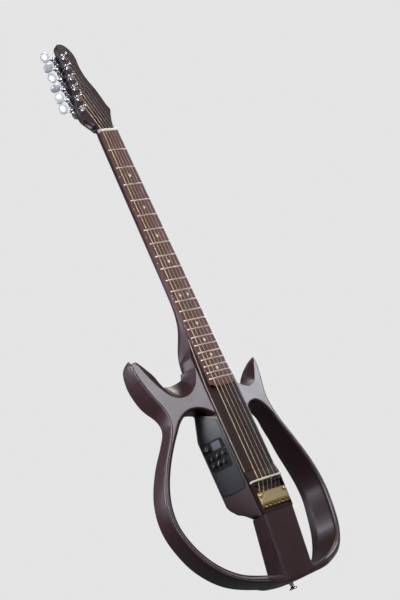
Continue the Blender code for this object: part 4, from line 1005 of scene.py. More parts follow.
    def beam(self):
        """Lower beam: its crowned front dips towards the tail and flares out into the hoop there."""
        t = dense_ends(48)[:, None]
        half = BEAM_START_HALF + t * (BEAM_END_HALF - BEAM_START_HALF)
        front = BEAM_START_FRONT + t * (BEAM_END_FRONT - BEAM_START_FRONT)
        back = front + BEAM_START_DEPTH + t * (BEAM_END_DEPTH - BEAM_START_DEPTH)
        flare = 13.0 * (1 - np.sqrt(1 - np.clip((t - 0.84) / 0.16, 0, 1) ** 2 * 0.98))
        share = np.linspace(-1, 1, 25)[None]
        edge = np.clip((np.abs(share) - 0.93) / 0.07, 0, 1)
        x = np.hstack([np.where(share < 0, half, half + flare) * share, half + 0.2 * flare, half - 7.0, 7.0 - half, -half])
        h = np.hstack([-front + 0.9 - 1.5 * share ** 2 - 1.6 * (1 - np.sqrt(1 - edge ** 2 * 0.98)), -back + 7.0,
                       -back, -back, -back + 7.0])
        end = TAIL - RIM_THICK + 0.2 - 2.6 * (x / BEAM_END_HALF) ** 2 * (x ** 2 < 1900.0)
        s = CORE_END + GAP + t * (np.maximum(end, TAIL - RIM_THICK - 3.6) - CORE_END - GAP)
        piece("lower_beam", tube(place(x, s, h)), "satin wood", "guitar", "satin_wood", "tail_beam", sharp=50.0)


def panel_outline(grow=0.0):
    """Outline of the control panel as (across, s): narrow at its top, round at its foot."""
    wide, low, inner = PANEL_WIDE - 1.0 + grow, PANEL_BOTTOM + grow, 1.2 - grow
    corners = ((inner, PANEL_TOP + POD_SLANT - grow), (PANEL_TOP_WIDE + grow, PANEL_TOP - grow),
               (wide, PANEL_SHOULDER), (wide, low), (inner, low))
    return rounded(corners, np.array([2.0, 3.0, 12.0, 17.0, 12.0]), 8)


def board_half(s):
    """Half width of the fretboard."""
    grow = (WIDTH_AT_LAST_FRET - NUT_WIDTH) / (2 * fret_place(LAST_FRET))
    return NUT_WIDTH / 2 + grow * np.asarray(s, float)


def fret_place(number):
    return SCALE * (1 - 2 ** (-number / 12))


def crown(x):
    """Drop of the fretboard's rounded top at a place across it."""
    return np.asarray(x, float) ** 2 / (2 * BOARD_RADIUS)


class GUITAR_OT_neck(Build):
    """Build the neck with its heel and volute, the head and the plain truss rod cover."""
    bl_idname = "guitar.neck"
    bl_label = "Neck and head"

    def build(self, sizes, tones):
        self.handle()
        self.head()
        cover = rounded(((-9, 11), (-9.5, 20), (-7.5, 30), (0, 47), (7.5, 30), (9.5, 20), (9, 11)),
                        np.array([1.0, 4.0, 6.0, 2.5, 6.0, 4.0, 1.0]))
        piece("rod_cover", plate(cover, over_head, GAP, GAP + 1.6, 0.5, 0.1), "knob plastic", "guitar",
              "knob_plastic", "truss_rod_cover")
        screws = [small_screw(over_head, x, along, GAP + 1.6, 1.5) for x, along in ((0, 42), (-6.2, 14.5), (6.2, 14.5))]
        piece("rod_cover_screws", screws, "dark steel", "guitar", "steel")

    def handle(self):
        """Half-round neck whose section deepens into the heel and fades into the head as a volute."""
        at, deep, square = smooth(NECK_STATIONS, 10).T
        s = np.unique(np.concatenate([np.linspace(1.0, PLATE_START - GAP, 120),
                                      np.linspace(PLATE_START - GAP + 0.02, NECK_END, 30)]))[::-1]
        turn = np.linspace(0, np.pi, 49)
        cos, sin = np.cos(turn), np.sin(turn)
        power = np.interp(s, at, square)[:, None]
        top = np.where(s > PLATE_START - GAP, -CORE_FRONT, -BOARD_THICK - GAP)[:, None]
        bottom = np.interp(s, at, deep)[:, None]
        half = board_half(s)[:, None]
        swell = step_up(s, PLATE_START - 34.0, PLATE_START + 30.0)[:, None]
        square_off = step_up(s, PLATE_START + 4.0, PLATE_START + 34.0)[:, None]
        half = half + (CORE_HALF - half) * swell * np.maximum(np.clip(0.2 + 1.3 * sin, 0, 1), square_off)
        x = half * np.sign(cos) * np.abs(cos) ** power
        h = -BOARD_THICK - GAP - (bottom - BOARD_THICK - GAP) * sin ** power
        h = np.minimum(h, top)
        rows = [place(x, s[:, None], h)]
        fade = np.linspace(0, 1, 26)[:, None]
        along = 3.0 + 44.0 * fade
        width = NUT_WIDTH / 2 - 0.6 - 7.0 * fade ** 2
        full = 18.8 - HEAD_DROP
        bulge = full - (full - HEAD_THICK + 3.0) * step_up(fade, 0.0, 0.8)
        x = width * np.sign(cos) * np.abs(cos) ** 1.0
        out = -3.0 - (bulge - 3.0 + 2.2 * np.sin(np.pi * np.clip(fade * 1.5, 0, 1))) * sin
        rows.append(over_head(x, along, out))
        handle = piece("neck_handle", tube(np.vstack(rows)), "satin wood", "guitar", "satin_wood", "neck")
        reach, seat = 3.0 + GAP, -BOARD_THICK - GAP
        channel = plate(((-reach, 1.0), (reach, 1.0), (reach, seat - 2 * reach), (-reach, seat - 2 * reach)),
                        lambda x, h, s: place(x, s, h), 8.0, 362.0, 0.0, 0.0, steps=1)
        carve(handle, channel)

    def head(self):
        """Flat head with a rounded edge, scooped along the shoulder below the lowest tuner."""
        reach = np.full(len(HEAD_OUTLINE), 12.0)
        reach[[0, 2, 21, 24]] = (1.0, 5.0, 4.0, 1.0)
        outline = rounded(HEAD_OUTLINE, reach, 8)
        x, along = outline.T
        shoulder = (1 - step_up(along, 24.0, 34.0)) * (x < 0) * step_up(along, 8.0, 14.0)
        right = (1 - step_up(along, 40.0, 50.0)) * (x > 0) * step_up(along, 8.0, 14.0)
        edge = 1.6 + 6.2 * shoulder + 1.5 * right
        holes = []
        for index in range(STRINGS):
            tx, ta = tuner_place(index)
            holes.append(plate(circle(POST_RADIUS + 1.2, 32) + (tx, ta), over_head, -HEAD_THICK - 3, 3.0, 0.0, 0.0, steps=1))
        head = piece("head", plate(outline, over_head, -HEAD_THICK, 0.0, edge, 2.2, hollow=shoulder, steps=7),
                     "satin wood", "guitar", "satin_wood")
        carve(head, *holes)


def tuner_place(index):
    return TUNER_FIRST[0] + TUNER_STEP[0] * index, TUNER_FIRST[1] + TUNER_STEP[1] * index


def small_screw(at, x, y, out, radius, high=0.7):
    """Domed screw head with a countersunk rim."""
    profile = ((radius, out - 0.4), (radius, out + 0.1), (radius * 0.86, out + 0.45 * high),
               (radius * 0.5, out + 0.9 * high), (radius * 0.28, out + high), (radius * 0.26, out + 0.2 * high),
               (0.02, out + 0.1 * high))
    return turned(about(at, x, y), profile, 24)


class GUITAR_OT_fretboard(Build):
    """Build the fretboard with its frets, dots and nut."""
    bl_idname = "guitar.fretboard"
    bl_label = "Fretboard"

    def build(self, sizes, tones):
        share = np.concatenate([np.linspace(-1, 1, 25), [1.0, -1.0]])
        s = GAP + np.linspace(0, 1, 90)[:, None] * (BOARD_END + 4.5 - 1.5 * share ** 2 - 4.5 * share ** 8 - GAP)
        x = board_half(s) * share
        top = -crown(x) - 0.25 * step_up(np.abs(share), 0.97, 1.0)
        h = np.where(np.arange(27) < 25, top, -BOARD_THICK)
        piece("board", tube(place(x, s, h)), "rosewood", "guitar", "rosewood", "fretboard")
        frets = []
        for number in range(1, LAST_FRET + 1):
            middle = fret_place(number)
            half = board_half(middle) + 0.1
            across = half * np.concatenate([[-1.0, -0.985, -0.965], np.linspace(-0.94, 0.94, 13), [0.965, 0.985, 1.0]])
            high = sizes.fret_high * (1 - step_up(np.abs(across) / half, 0.95, 1.0) * 0.85)
            turn = np.linspace(0, np.pi, 9)
            ring_s = middle + sizes.fret_wide / 2 * np.cos(turn)[None] + 0 * across[:, None]
            ring_h = -crown(across)[:, None] - 0.15 + (high[:, None] + 0.15) * np.sin(turn) ** 0.8
            frets.append(tube(place(across[:, None], ring_s, ring_h)))
        piece("frets", frets, "fret metal", "guitar", "steel")
        dots = []
        for number in (3, 5, 7, 9, 12, 15, 17, 19, 21):
            middle = (fret_place(number - 1) + fret_place(number)) / 2
            for x0 in ((-9.5, 9.5) if number == 12 else (0.0,)):
                dots.append(turned(lambda a, b, out, x0=x0, m=middle: place(x0 + a, m + b, out - crown(x0 + a)),
                                   ((sizes.dot_radius, -0.5), (sizes.dot_radius, 0.04), (0.02, 0.05)), 32))
            for k in range(2 if number == 12 else 1):
                spot = middle + (k - 0.5 * (number == 12)) * 5.0
                edge = -board_half(spot)
                dots.append(turned(lambda a, b, out, e=edge, m=spot: place(e - out, m + a, -2.6 + b),
                                   ((0.9, -0.4), (0.9, 0.03), (0.02, 0.04)), 16))
        piece("fret_dots", dots, "pale inlay", "guitar", "bone")
        self.nut()

    def nut(self):
        """Nut with a slot under each string: its top falls by a small notch at the string's place."""
        x = np.linspace(-NUT_WIDTH / 2, NUT_WIDTH / 2, 301)
        top = NUT_TOP + 0.75 - 0.35 * (x / NUT_WIDTH + 0.5)
        for index, radius in enumerate(STRING_RADII):
            away = np.minimum(np.abs(x - string_x(index, 0)), radius + 0.06)
            slot = SLOT_FLOOR + radius - np.sqrt((radius + 0.06) ** 2 - away ** 2)
            top = np.where(away < radius + 0.06, np.minimum(top, slot), top)
        top = top - step_up(np.abs(x), NUT_WIDTH / 2 - 0.9, NUT_WIDTH / 2) * 0.6
        s = np.stack([0 * x - NUT_THICK, 0 * x - 0.05, 0 * x - 0.05, 0 * x - 0.7, 0 * x - 2.5, 0 * x - NUT_THICK + 0.8,
                      0 * x - NUT_THICK], -1)
        h = np.stack([0 * x - BOARD_THICK, 0 * x - BOARD_THICK, top - 0.3, top, top - 0.15, top - 0.9, top - 1.5], -1)
        piece("string_nut", tube(place(x[:, None], s, h)), "bone", "guitar", "bone", "nut")


def string_x(index, s):
    """Place of a string across the guitar."""
    share = index / (STRINGS - 1) - 0.5
    return share * (36.5 + (52.5 - 36.5) * s / SCALE)


def tuner_line():
    """Unit vectors over the head's face: along the row of tuners, and out towards the bass side."""
    line = np.array(TUNER_STEP) / math.hypot(*TUNER_STEP)
    return line, np.array((-line[1], line[0]))


def at_tuner(index):
    """Placing function of one tuner: out towards the bass side, along the row, in front of the face."""
    x, along = tuner_place(index)
    line, out_way = tuner_line()
    return lambda away, beside, out: over_head(x + out_way[0] * away + line[0] * beside,
                                               along + out_way[1] * away + line[1] * beside, out)


class GUITAR_OT_tuners(Build):
    """Build the six machine heads: housings, posts, buttons and the string wound on each post."""
    bl_idname = "guitar.tuners"
    bl_label = "Machine heads"

    def build(self, sizes, tones):
        floor = -HEAD_THICK - GAP
        middle = floor - HOUSING_DEEP / 2
        front = HOUSING_LONG - 7.0
        for index in range(STRINGS):
            at = at_tuner(index)
            word = index + 1
            box = box_outline(-7.0, 2 - HOUSING_WIDE / 2, front, 2 + HOUSING_WIDE / 2, 5.5, 8)
            shaft_at = lambda a, b, out, at=at: at(out, WORM_OFFSET + a, middle + b)
            collar = turned(shaft_at, ((3.9, front - 1.5), (4.1, front + 0.6), (3.9, front + 1.6), (2.6, front + 2.0),
                                       (2.45, front + 1.0)), 32)
            lug = turned(lambda a, b, out, at=at: at(a + 1, b - 9.5, out), ((2.8, floor - 1.6), (2.9, floor)), 24)
            housing = piece(f"housing_{word}", plate(box, at, floor - HOUSING_DEEP, floor, 0.4, 3.6, steps=7),
                            "chrome", "guitar", "chrome", f"tuner_housing_{word}")
            bore = POST_RADIUS + 0.4
            carve(housing, turned(at, ((bore, 2), (bore, floor - 4)), 32),
                  turned(shaft_at, ((2.4, front - 3.5), (2.4, front + 4)), 32))
            piece(f"collar_{word}", [collar, lug], "chrome", "guitar", "chrome")
            washer = turned(at, soften(((3.5, 0.05), (6.3, 0.05), (6.3, 0.7), (5.0, 1.0), (4.7, 2.1), (3.5, 2.3)),
                                       0.25), 48)
            piece(f"washer_{word}", washer, "chrome", "guitar", "chrome")
            post = ((POST_RADIUS, floor - 3.6), (POST_RADIUS, WRAP_LOW + 0.2), (2.6, WRAP_LOW + 1.2),
                    (2.5, WRAP_HIGH), (2.7, WRAP_HIGH + 1.6), (POST_RADIUS + 0.3, POST_HIGH - 1.6),
                    (POST_RADIUS + 0.25, POST_HIGH - 0.4), (POST_RADIUS - 0.3, POST_HIGH), (0.9, POST_HIGH),
                    (0.7, POST_HIGH - 0.7), (0.05, POST_HIGH - 0.8))
            piece(f"post_{word}", turned(at, soften(post, 0.35), 40), "chrome", f"post_{word}", "chrome",
                  f"tuner_post_{word}")
            self.button(index, shaft_at, front)
            self.wrap(index, at)

    def button(self, index, at, front):
        """Oval button: its two half widths follow smooth tables out along the shaft."""
        stations = ((-9.4, 0.24, 0.34), (-8.9, 0.36, 0.46), (-7.6, 0.58, 0.66), (-5.0, 0.84, 0.86), (-2.0, 0.97, 1.0),
                    (1.5, 1.0, 1.0), (5.0, 0.86, 0.9), (7.6, 0.54, 0.62), (8.5, 0.3, 0.38), (8.8, 0.06, 0.08))
        out, wide, thick = smooth(stations, 6).T
        turn = np.linspace(0, 2 * np.pi, 48, endpoint=False)
        a = BUTTON_RADIUS * wide[:, None] * np.cos(turn)
        b = BUTTON_THICK / 2 * thick[:, None] * np.sin(turn)
        by = math.radians(BUTTON_TURNS[index])
        oval = tube(at(a * math.cos(by) - b * math.sin(by), a * math.sin(by) + b * math.cos(by),
                       BUTTON_REACH + out[:, None]))
        shaft = turned(at, ((1.95, front - 3.1), (1.95, front + 3.6), (2.7, front + 4.2), (3.0, front + 5.6),
                            (2.6, front + 6.9), (1.9, front + 7.4), (1.8, BUTTON_REACH - 8.6)), 32)
        # the button takes the lifted, half-matt chrome: painted reflection
        piece(f"button_{index + 1}", oval, "pearl chrome", f"peg_{index + 1}", "chrome",
              f"tuner_button_{index + 1}")
        piece(f"shaft_{index + 1}", shaft, "chrome", f"peg_{index + 1}", "chrome")
        end = BUTTON_REACH + 7.7
        screw = turned(at, ((1.5, end - 0.6), (1.5, end + 0.7), (1.2, end + 1.0), (0.5, end + 1.0), (0.4, end + 0.6),
                            (0.05, end + 0.55)), 24)
        piece(f"button_screw_{index + 1}", screw, "dark steel", f"peg_{index + 1}", "steel")

    def wrap(self, index, at):
        """The string's turns on its post: a helix that winds down from the string's height."""
        radius = STRING_RADII[index]
        turns = 2.6 if index > 3 else 2.2
        count = int(48 * turns)
        angle = np.linspace(0, 2 * np.pi * turns, count)
        core = 2.55 + radius
        start, stop = (WRAP_LOW + WRAP_HIGH) / 2, (WRAP_LOW + WRAP_HIGH) / 2 - 2.1 * radius * turns
        low = max(stop, WRAP_LOW + 1.0)
        rise = np.linspace(start, low, count)
        path = at(core * np.cos(-angle - np.pi / 2 - 1.4), core * np.sin(-angle - np.pi / 2 - 1.4), rise)
        material = f"wound wire {index + 1}" if index < 4 else "steel"
        slot = "bronze" if index < 4 else "steel"
        piece(f"wrap_{index + 1}", cord(path, radius), material, f"post_{index + 1}", slot, sharp=80.0)


class GUITAR_OT_strings(Build):
    """Build the strings from the posts over nut and saddle to their ball ends."""
    bl_idname = "guitar.strings"
    bl_label = "Strings"

    def build(self, sizes, tones):
        line, out_way = tuner_line()
        hole_h = TAILPIECE_BASE + TAILPIECE_THICK / 2
        end = TAILPIECE_START + TAILPIECE_LONG
        balls = []
        for index, radius in enumerate(STRING_RADII):
            x_post, along = tuner_place(index)
            reach = 2.55 + radius
            touch = over_head(x_post - out_way[0] * reach, along - out_way[1] * reach, (WRAP_LOW + WRAP_HIGH) / 2)
            x_nut, x_saddle = string_x(index, 0), string_x(index, SCALE)
            nut_h, saddle_h = SLOT_FLOOR + radius, saddle_top(x_saddle) + radius
            points = np.array([place(x_nut, -NUT_THICK, nut_h - 0.8), place(x_nut, -2.0, nut_h - 0.05),
                               place(x_nut, 0.3, nut_h), place(x_saddle, SCALE - 0.8, saddle_h - 0.02),
                               place(x_saddle, SCALE + 1.0, saddle_h - 0.1),
                               place(x_saddle, SCALE + 3.2, saddle_h - 1.1),
                               place(x_saddle, TAILPIECE_START - 0.5, hole_h + 0.35),
                               place(x_saddle, TAILPIECE_START + 3.0, hole_h),
                               place(x_saddle, end - 4.0, hole_h)])
            path = [touch, points[0]]
            for first, last in zip(points[:-1], points[1:]):
                count = max(2, int(np.linalg.norm(last - first) / 0.004))
                path += [first + (last - first) * k / count for k in range(1, count + 1)]
            material = f"wound wire {index + 1}" if index < 4 else "steel"
            slot = "bronze" if index < 4 else "steel"
            piece(f"wire_{index + 1}", cord(np.array(path), radius), material, "guitar", slot,
                  f"string_{index + 1}", sharp=80.0)
            barrel = soften(((0.7, -2.0), (1.9, -2.0), (1.9, -0.8), (1.45, -0.4), (1.45, 0.4), (1.9, 0.8), (1.9, 2.0),
                             (0.7, 2.0)), 0.25)
            balls.append(turned(lambda a, b, out, x=x_saddle: place(x + out, end - 2.4 + a, hole_h + b), barrel, 32))
        piece("ball_ends", balls, "gold", "guitar", "gold")


def saddle_top(x):
    """Height of the saddle, which follows half the fretboard's curve."""
    return SADDLE_TOP - 0.5 * crown(x)


class GUITAR_OT_bridge(Build):
    """Build the bridge block, the saddle and the tailpiece with its screws."""
    bl_idname = "guitar.bridge"
    bl_label = "Bridge and tailpiece"

    def build(self, sizes, tones):
        slot_start, slot_floor = SCALE - 0.5, -RECESS_FLOOR + 0.6
        slot_end = slot_start + SADDLE_THICK + 2 * GAP
        profile = ((PLATE_END + GAP, -CORE_FRONT + GAP), (PLATE_END + GAP, -PLATE_TOP), (PLATE_END + 13, -BRIDGE_TOP),
                   (slot_start, -BRIDGE_TOP), (slot_start, slot_floor), (slot_end, slot_floor),
                   (slot_end, -BRIDGE_TOP), (RECESS_START, -BRIDGE_TOP), (CORE_END, -BEAM_START_FRONT),
                   (CORE_END, -CORE_FRONT + GAP))
        reach = np.array([0.3, 1.0, 6.0, 0.4, 0.1, 0.1, 0.4, 3.0, 0.3, 0.3])
        sideways = lambda s, h, x: place(x, s, h)
        block = piece("bridge", plate(rounded(profile, reach, 4), sideways, -BRIDGE_HALF, BRIDGE_HALF, 0.6, 0.6),
                      "plate wood", "guitar", "plate_wood", "bridge_block")
        recess = plate(box_outline(-TAILPIECE_HALF - GAP, RECESS_START, TAILPIECE_HALF + GAP,
                                   TAILPIECE_START + TAILPIECE_LONG + 3, 1.5), place, -RECESS_FLOOR, 3.0, 0.0, 0.0, steps=1)
        carve(block, recess)
        self.saddle(slot_start + GAP, slot_end - GAP, slot_floor + 2 * GAP + 1.2)
        self.tailpiece(block)

    def saddle(self, start, end, low):
        """Bone saddle: a rounded ridge whose height follows the fretboard's curve across the strings."""
        x = dense_ends(90, 2.2) * SADDLE_LONG - SADDLE_LONG / 2
        away = np.clip((np.abs(x) - SADDLE_LONG / 2 + 5.0) / 5.0, 0, 1)
        top = saddle_top(x) - 5.4 * (1 - np.sqrt(1 - away ** 2))
        zero = 0 * x
        s = np.stack([zero + start, zero + start, zero + start + 0.5, zero + start + 1.1, zero + end - 0.9, zero + end,
                      zero + end], -1)
        h = np.stack([zero + low, top - 0.9, top - 0.2, top, top - 0.45, top - 1.3, zero + low], -1)
        piece("saddle_bone", tube(place(x[:, None], s, h)), "bone", "guitar", "bone", "saddle")

    def tailpiece(self, block):
        base, top = TAILPIECE_BASE, TAILPIECE_BASE + TAILPIECE_THICK
        rear = TAILPIECE_START + TAILPIECE_LONG
        half = TAILPIECE_HALF
        bar = rear - 6.0
        body = piece("tailpiece_body", plate(box_outline(-half, TAILPIECE_START, half, bar, 2.0), place, base, top, 0.9,
                                             0.3), "gold", "guitar", "gold", "tailpiece")
        holes = [turned(lambda a, b, s, x=string_x(i, SCALE): place(x + a, s, base + TAILPIECE_THICK / 2 + b),
                        ((r + 0.35, TAILPIECE_START - 4), (r + 0.35, rear)), 20)
                 for i, r in enumerate(STRING_RADII)]
        teeth = [plate(box_outline(-half, bar - 2.0, half, rear - 0.6, 1.5), place, base, base + 1.4, 0.4, 0.2)]
        edges = [-half - 2.6, *(string_x(i, SCALE) for i in range(STRINGS)), half + 2.6]
        for left, right in zip(edges, edges[1:]):
            left, right = left + 2.6, right - 2.6
            count = 2 if right - left < 8.0 else 3
            wide = (right - left - 0.9 * (count - 1)) / count
            for k in range(count):
                x0 = left + k * (wide + 0.9)
                side = ((bar - 1.5, base + 0.5), (rear, base + 0.5), (rear, base + 2.6), (bar + 1.0, top - 0.3),
                        (bar - 1.5, top - 0.3))
                teeth.append(plate(rounded(side, np.array([0.1, 0.4, 1.2, 1.5, 0.1])),
                                   lambda s, h, x: place(x, s, h), x0, x0 + wide, 0.35, 0.35, steps=3))
        piece("tailpiece_teeth", teeth, "gold", "guitar", "gold")
        spots = [(side * (half - 4.3), TAILPIECE_START + 5.0) for side in (-1, 1)]
        wells = [turned(about(place, x, s), ((2.1, top + 3), (2.1, -CORE_FRONT + 0.6)), 24) for x, s in spots]
        carve(body, *holes, *wells)
        carve(block, *[turned(about(place, x, s), ((2.1, top + 3), (2.1, -CORE_FRONT + 0.6)), 24) for x, s in spots])
        arch = rounded(((-33.0, 682.0), (-25.5, 680.5), (-19.0, 672.5), (19.0, 672.5), (25.5, 680.5), (33.0, 682.0),
                        (33.0, 689.5), (-33.0, 689.5)), np.array([2.0, 4.0, 9.0, 9.0, 4.0, 2.0, 1.2, 1.2]), 6)
        piece("tailpiece_field", plate(arch, place, top - 0.2, top + 0.7, 0.35, 0.0), "brushed gold", "guitar",
              "gold")
        for word, (x, s) in zip(("bass", "treble"), spots):
            profile = ((1.7, -CORE_FRONT + 1.0), (1.7, top + GAP), (3.2, top + GAP), (3.2, top + 0.9), (2.6, top + 1.6),
                       (1.6, top + 1.95), (1.3, top + 1.95), (1.25, top + 0.9), (0.05, top + 0.85))
            piece(f"tailpiece_bolt_{word}", turned(about(place, x, s), soften(profile, 0.25), 40), "gold", "guitar",
                  "gold", f"tailpiece_screw_{word}")


class GUITAR_OT_controls(Build):
    """Build the control panel with its display, knobs and switch."""
    bl_idname = "guitar.controls"
    bl_label = "Control panel"

    def build(self, sizes, tones):
        panel = piece("panel", plate(panel_outline(), over_panel, -PANEL_THICK, 0.0, sizes.plate_round, 0.3),
                      "charcoal plastic", "guitar", "plastic", "control_panel")
        bay = plate(box_outline(5.0, PANEL_SHOULDER + 6, PANEL_WIDE - 3.5, PANEL_SHOULDER + 59, 7.0, 8),
                    over_panel, -BAY_DEEP, 3.0, 0.0, 0.0, steps=1)
        wells = [turned(about(over_panel, a, s), ((1.8, 3), (1.8, -PANEL_THICK - 3)), 24)
                 for a, s in (VOLUME_KNOB, *SMALL_KNOBS)]
        slot = plate(box_outline(SWITCH[0] - 6, SWITCH[1] - 1.2, SWITCH[0] + 6, SWITCH[1] + 1.2, 0.8, 3), over_panel,
                     -PANEL_THICK - 3, 3.0, 0.0, 0.0, steps=1)
        carve(panel, bay, *wells, slot)
        rim = box_outline(5.0, PANEL_SHOULDER + 6, PANEL_WIDE - 3.5, PANEL_SHOULDER + 59, 7.0, 8)
        piece("bay_rim", frame_strip(rim, 1.1, -BAY_DEEP, 0.2), "knob plastic", "guitar", "plastic")
        floor = box_outline(5.6, PANEL_SHOULDER + 6.6, PANEL_WIDE - 4.1, PANEL_SHOULDER + 58.4, 6.4, 8)
        piece("bay_floor", plate(floor, over_panel, -BAY_DEEP - 0.3, -BAY_DEEP + 0.12, 0.0, 0.0, steps=1),
              "bay floor", "guitar", "plastic")
        rib = plate(box_outline(6.5, PANEL_SHOULDER + 25.4, PANEL_WIDE - 5.0, PANEL_SHOULDER + 26.2, 0.3, 3),
                    over_panel, -BAY_DEEP, -0.2, 0.25, 0.0)
        piece("bay_rib", rib, "charcoal plastic", "guitar", "plastic")
        screws = [small_screw(over_panel, a, s, 0.0, 1.7) for a, s in PANEL_SCREWS]
        piece("panel_screws", screws, "dark steel", "guitar", "steel")
        for number, (a, s) in enumerate((VOLUME_KNOB, *SMALL_KNOBS)):
            self.knob(number, a, s, sizes.knob_ribs)
        self.switch()
        self.screen()
        self.print_marks()

    def knob(self, number, across, s, ribs):
        """Ribbed knob on its shaft, with a pale pointer line on its top."""
        radius, high = (5.4, 8.0) if number == 0 else (3.1, 5.5)
        name = "volume" if number == 0 else f"tone_{number}"
        node = "volume_knob" if number == 0 else f"tone_knob_{number}"
        at = about(over_panel, across, s)
        base = -BAY_DEEP + GAP
        skirt = turned(at, soften(((1.4, GAP - BOARD_DEEP), (1.4, base), (radius, base), (radius, base + 0.9),
                                   (radius * 0.93, base + 1.1)), 0.15), 60)
        profile = soften(((radius * 0.93, base + 0.8), (radius * 0.91, base + 1.5), (radius * 0.84, base + high - 0.9),
                          (radius * 0.76, base + high - 0.1), (radius * 0.66, base + high), (0.05, base + high - 0.25)),
                         0.3)
        grip = turned(at, profile, 6 * ribs, ribs, 0.035)
        piece(name, [skirt, grip], "knob plastic", name, "knob_plastic", node, sharp=50.0)
        line = plate(box_outline(-0.28, -radius * 0.74, 0.28, -radius * 0.2), at, base + high - 0.3, base + high + 0.03,
                     0.02, 0.0, steps=1)
        piece(f"{name}_pointer", line, "white print", name, "plastic")

    def switch(self):
        """Slide switch: a small ribbed cap on a stem through the slot."""
        at = about(over_panel, *SWITCH)
        stem = plate(box_outline(-1.6, -0.8, 1.6, 0.8, 0.2), at, -PANEL_THICK - 1, -BAY_DEEP + GAP + 0.3, 0.0, 0.0, steps=1)
        cap = plate(box_outline(-2.6, -1.9, 2.6, 1.9, 0.5), at, -BAY_DEEP + GAP, 0.9, 0.3, 0.1)
        ribs = [plate(box_outline(x - 0.25, -1.6, x + 0.25, 1.6, 0.1), at, 0.8, 1.2, 0.1, 0.0, steps=2)
                for x in (-1.6, -0.8, 0.0, 0.8, 1.6)]
        piece("switch_cap", [stem, cap, *ribs], "knob plastic", "switch", "knob_plastic", "slide_switch")

    def screen(self):
        """Display: a pale face with a dark frame round it."""
        across, s, wide, high = DISPLAY
        box = box_outline(across - wide / 2, s - high / 2, across + wide / 2, s + high / 2, 1.2)
        low = -BAY_DEEP + GAP
        face = box_outline(across - wide / 2 + 0.9, s - high / 2 + 0.9, across + wide / 2 - 0.9, s + high / 2 - 0.9, 0.8)
        piece("display_face", plate(face, over_panel, low, 0.3, 0.1, 0.0), "display face", "guitar", "display",
              "display_window")
        piece("display_frame", frame_strip(box, 0.9, low, 0.4), "knob plastic", "guitar", "plastic")

    def print_marks(self):
        """Scale ticks round the volume knob, and a dot beside each small knob."""
        ticks = []
        a0, s0 = VOLUME_KNOB
        for turn in np.radians(np.linspace(-135, 135, 11)):
            way = np.array((math.sin(turn), -math.cos(turn)))
            at = lambda a, b, out, w=way: over_panel(a0 + w[0] * (6.9 + a) - w[1] * b, s0 + w[1] * (6.9 + a) + w[0] * b, out)
            ticks.append(plate(box_outline(-0.45, -0.12, 0.45, 0.12), at, -BAY_DEEP, -BAY_DEEP + 0.17, 0.0, 0.0,
                               steps=1))
        for a, s in SMALL_KNOBS:
            at = about(over_panel, a, s - 4.6)
            ticks.append(turned(at, ((0.35, -BAY_DEEP), (0.35, -BAY_DEEP + 0.17)), 12))
        piece("scale_marks", ticks, "white print", "guitar", "plastic")


def frame_strip(outline, wide, low, high):
    """Flat ring that follows a closed outline inwards."""
    x, y = outline.T
    way = 1 if np.sum(x * np.roll(y, -1) - y * np.roll(x, -1)) > 0 else -1
    inner = offset(outline, way * wide, True)
    rings = [over_panel(*edge.T, out) for edge, out in ((outline, low), (outline, high), (inner, high), (inner, low))]
    return tube(np.stack(rings, 1), cyclic=True)


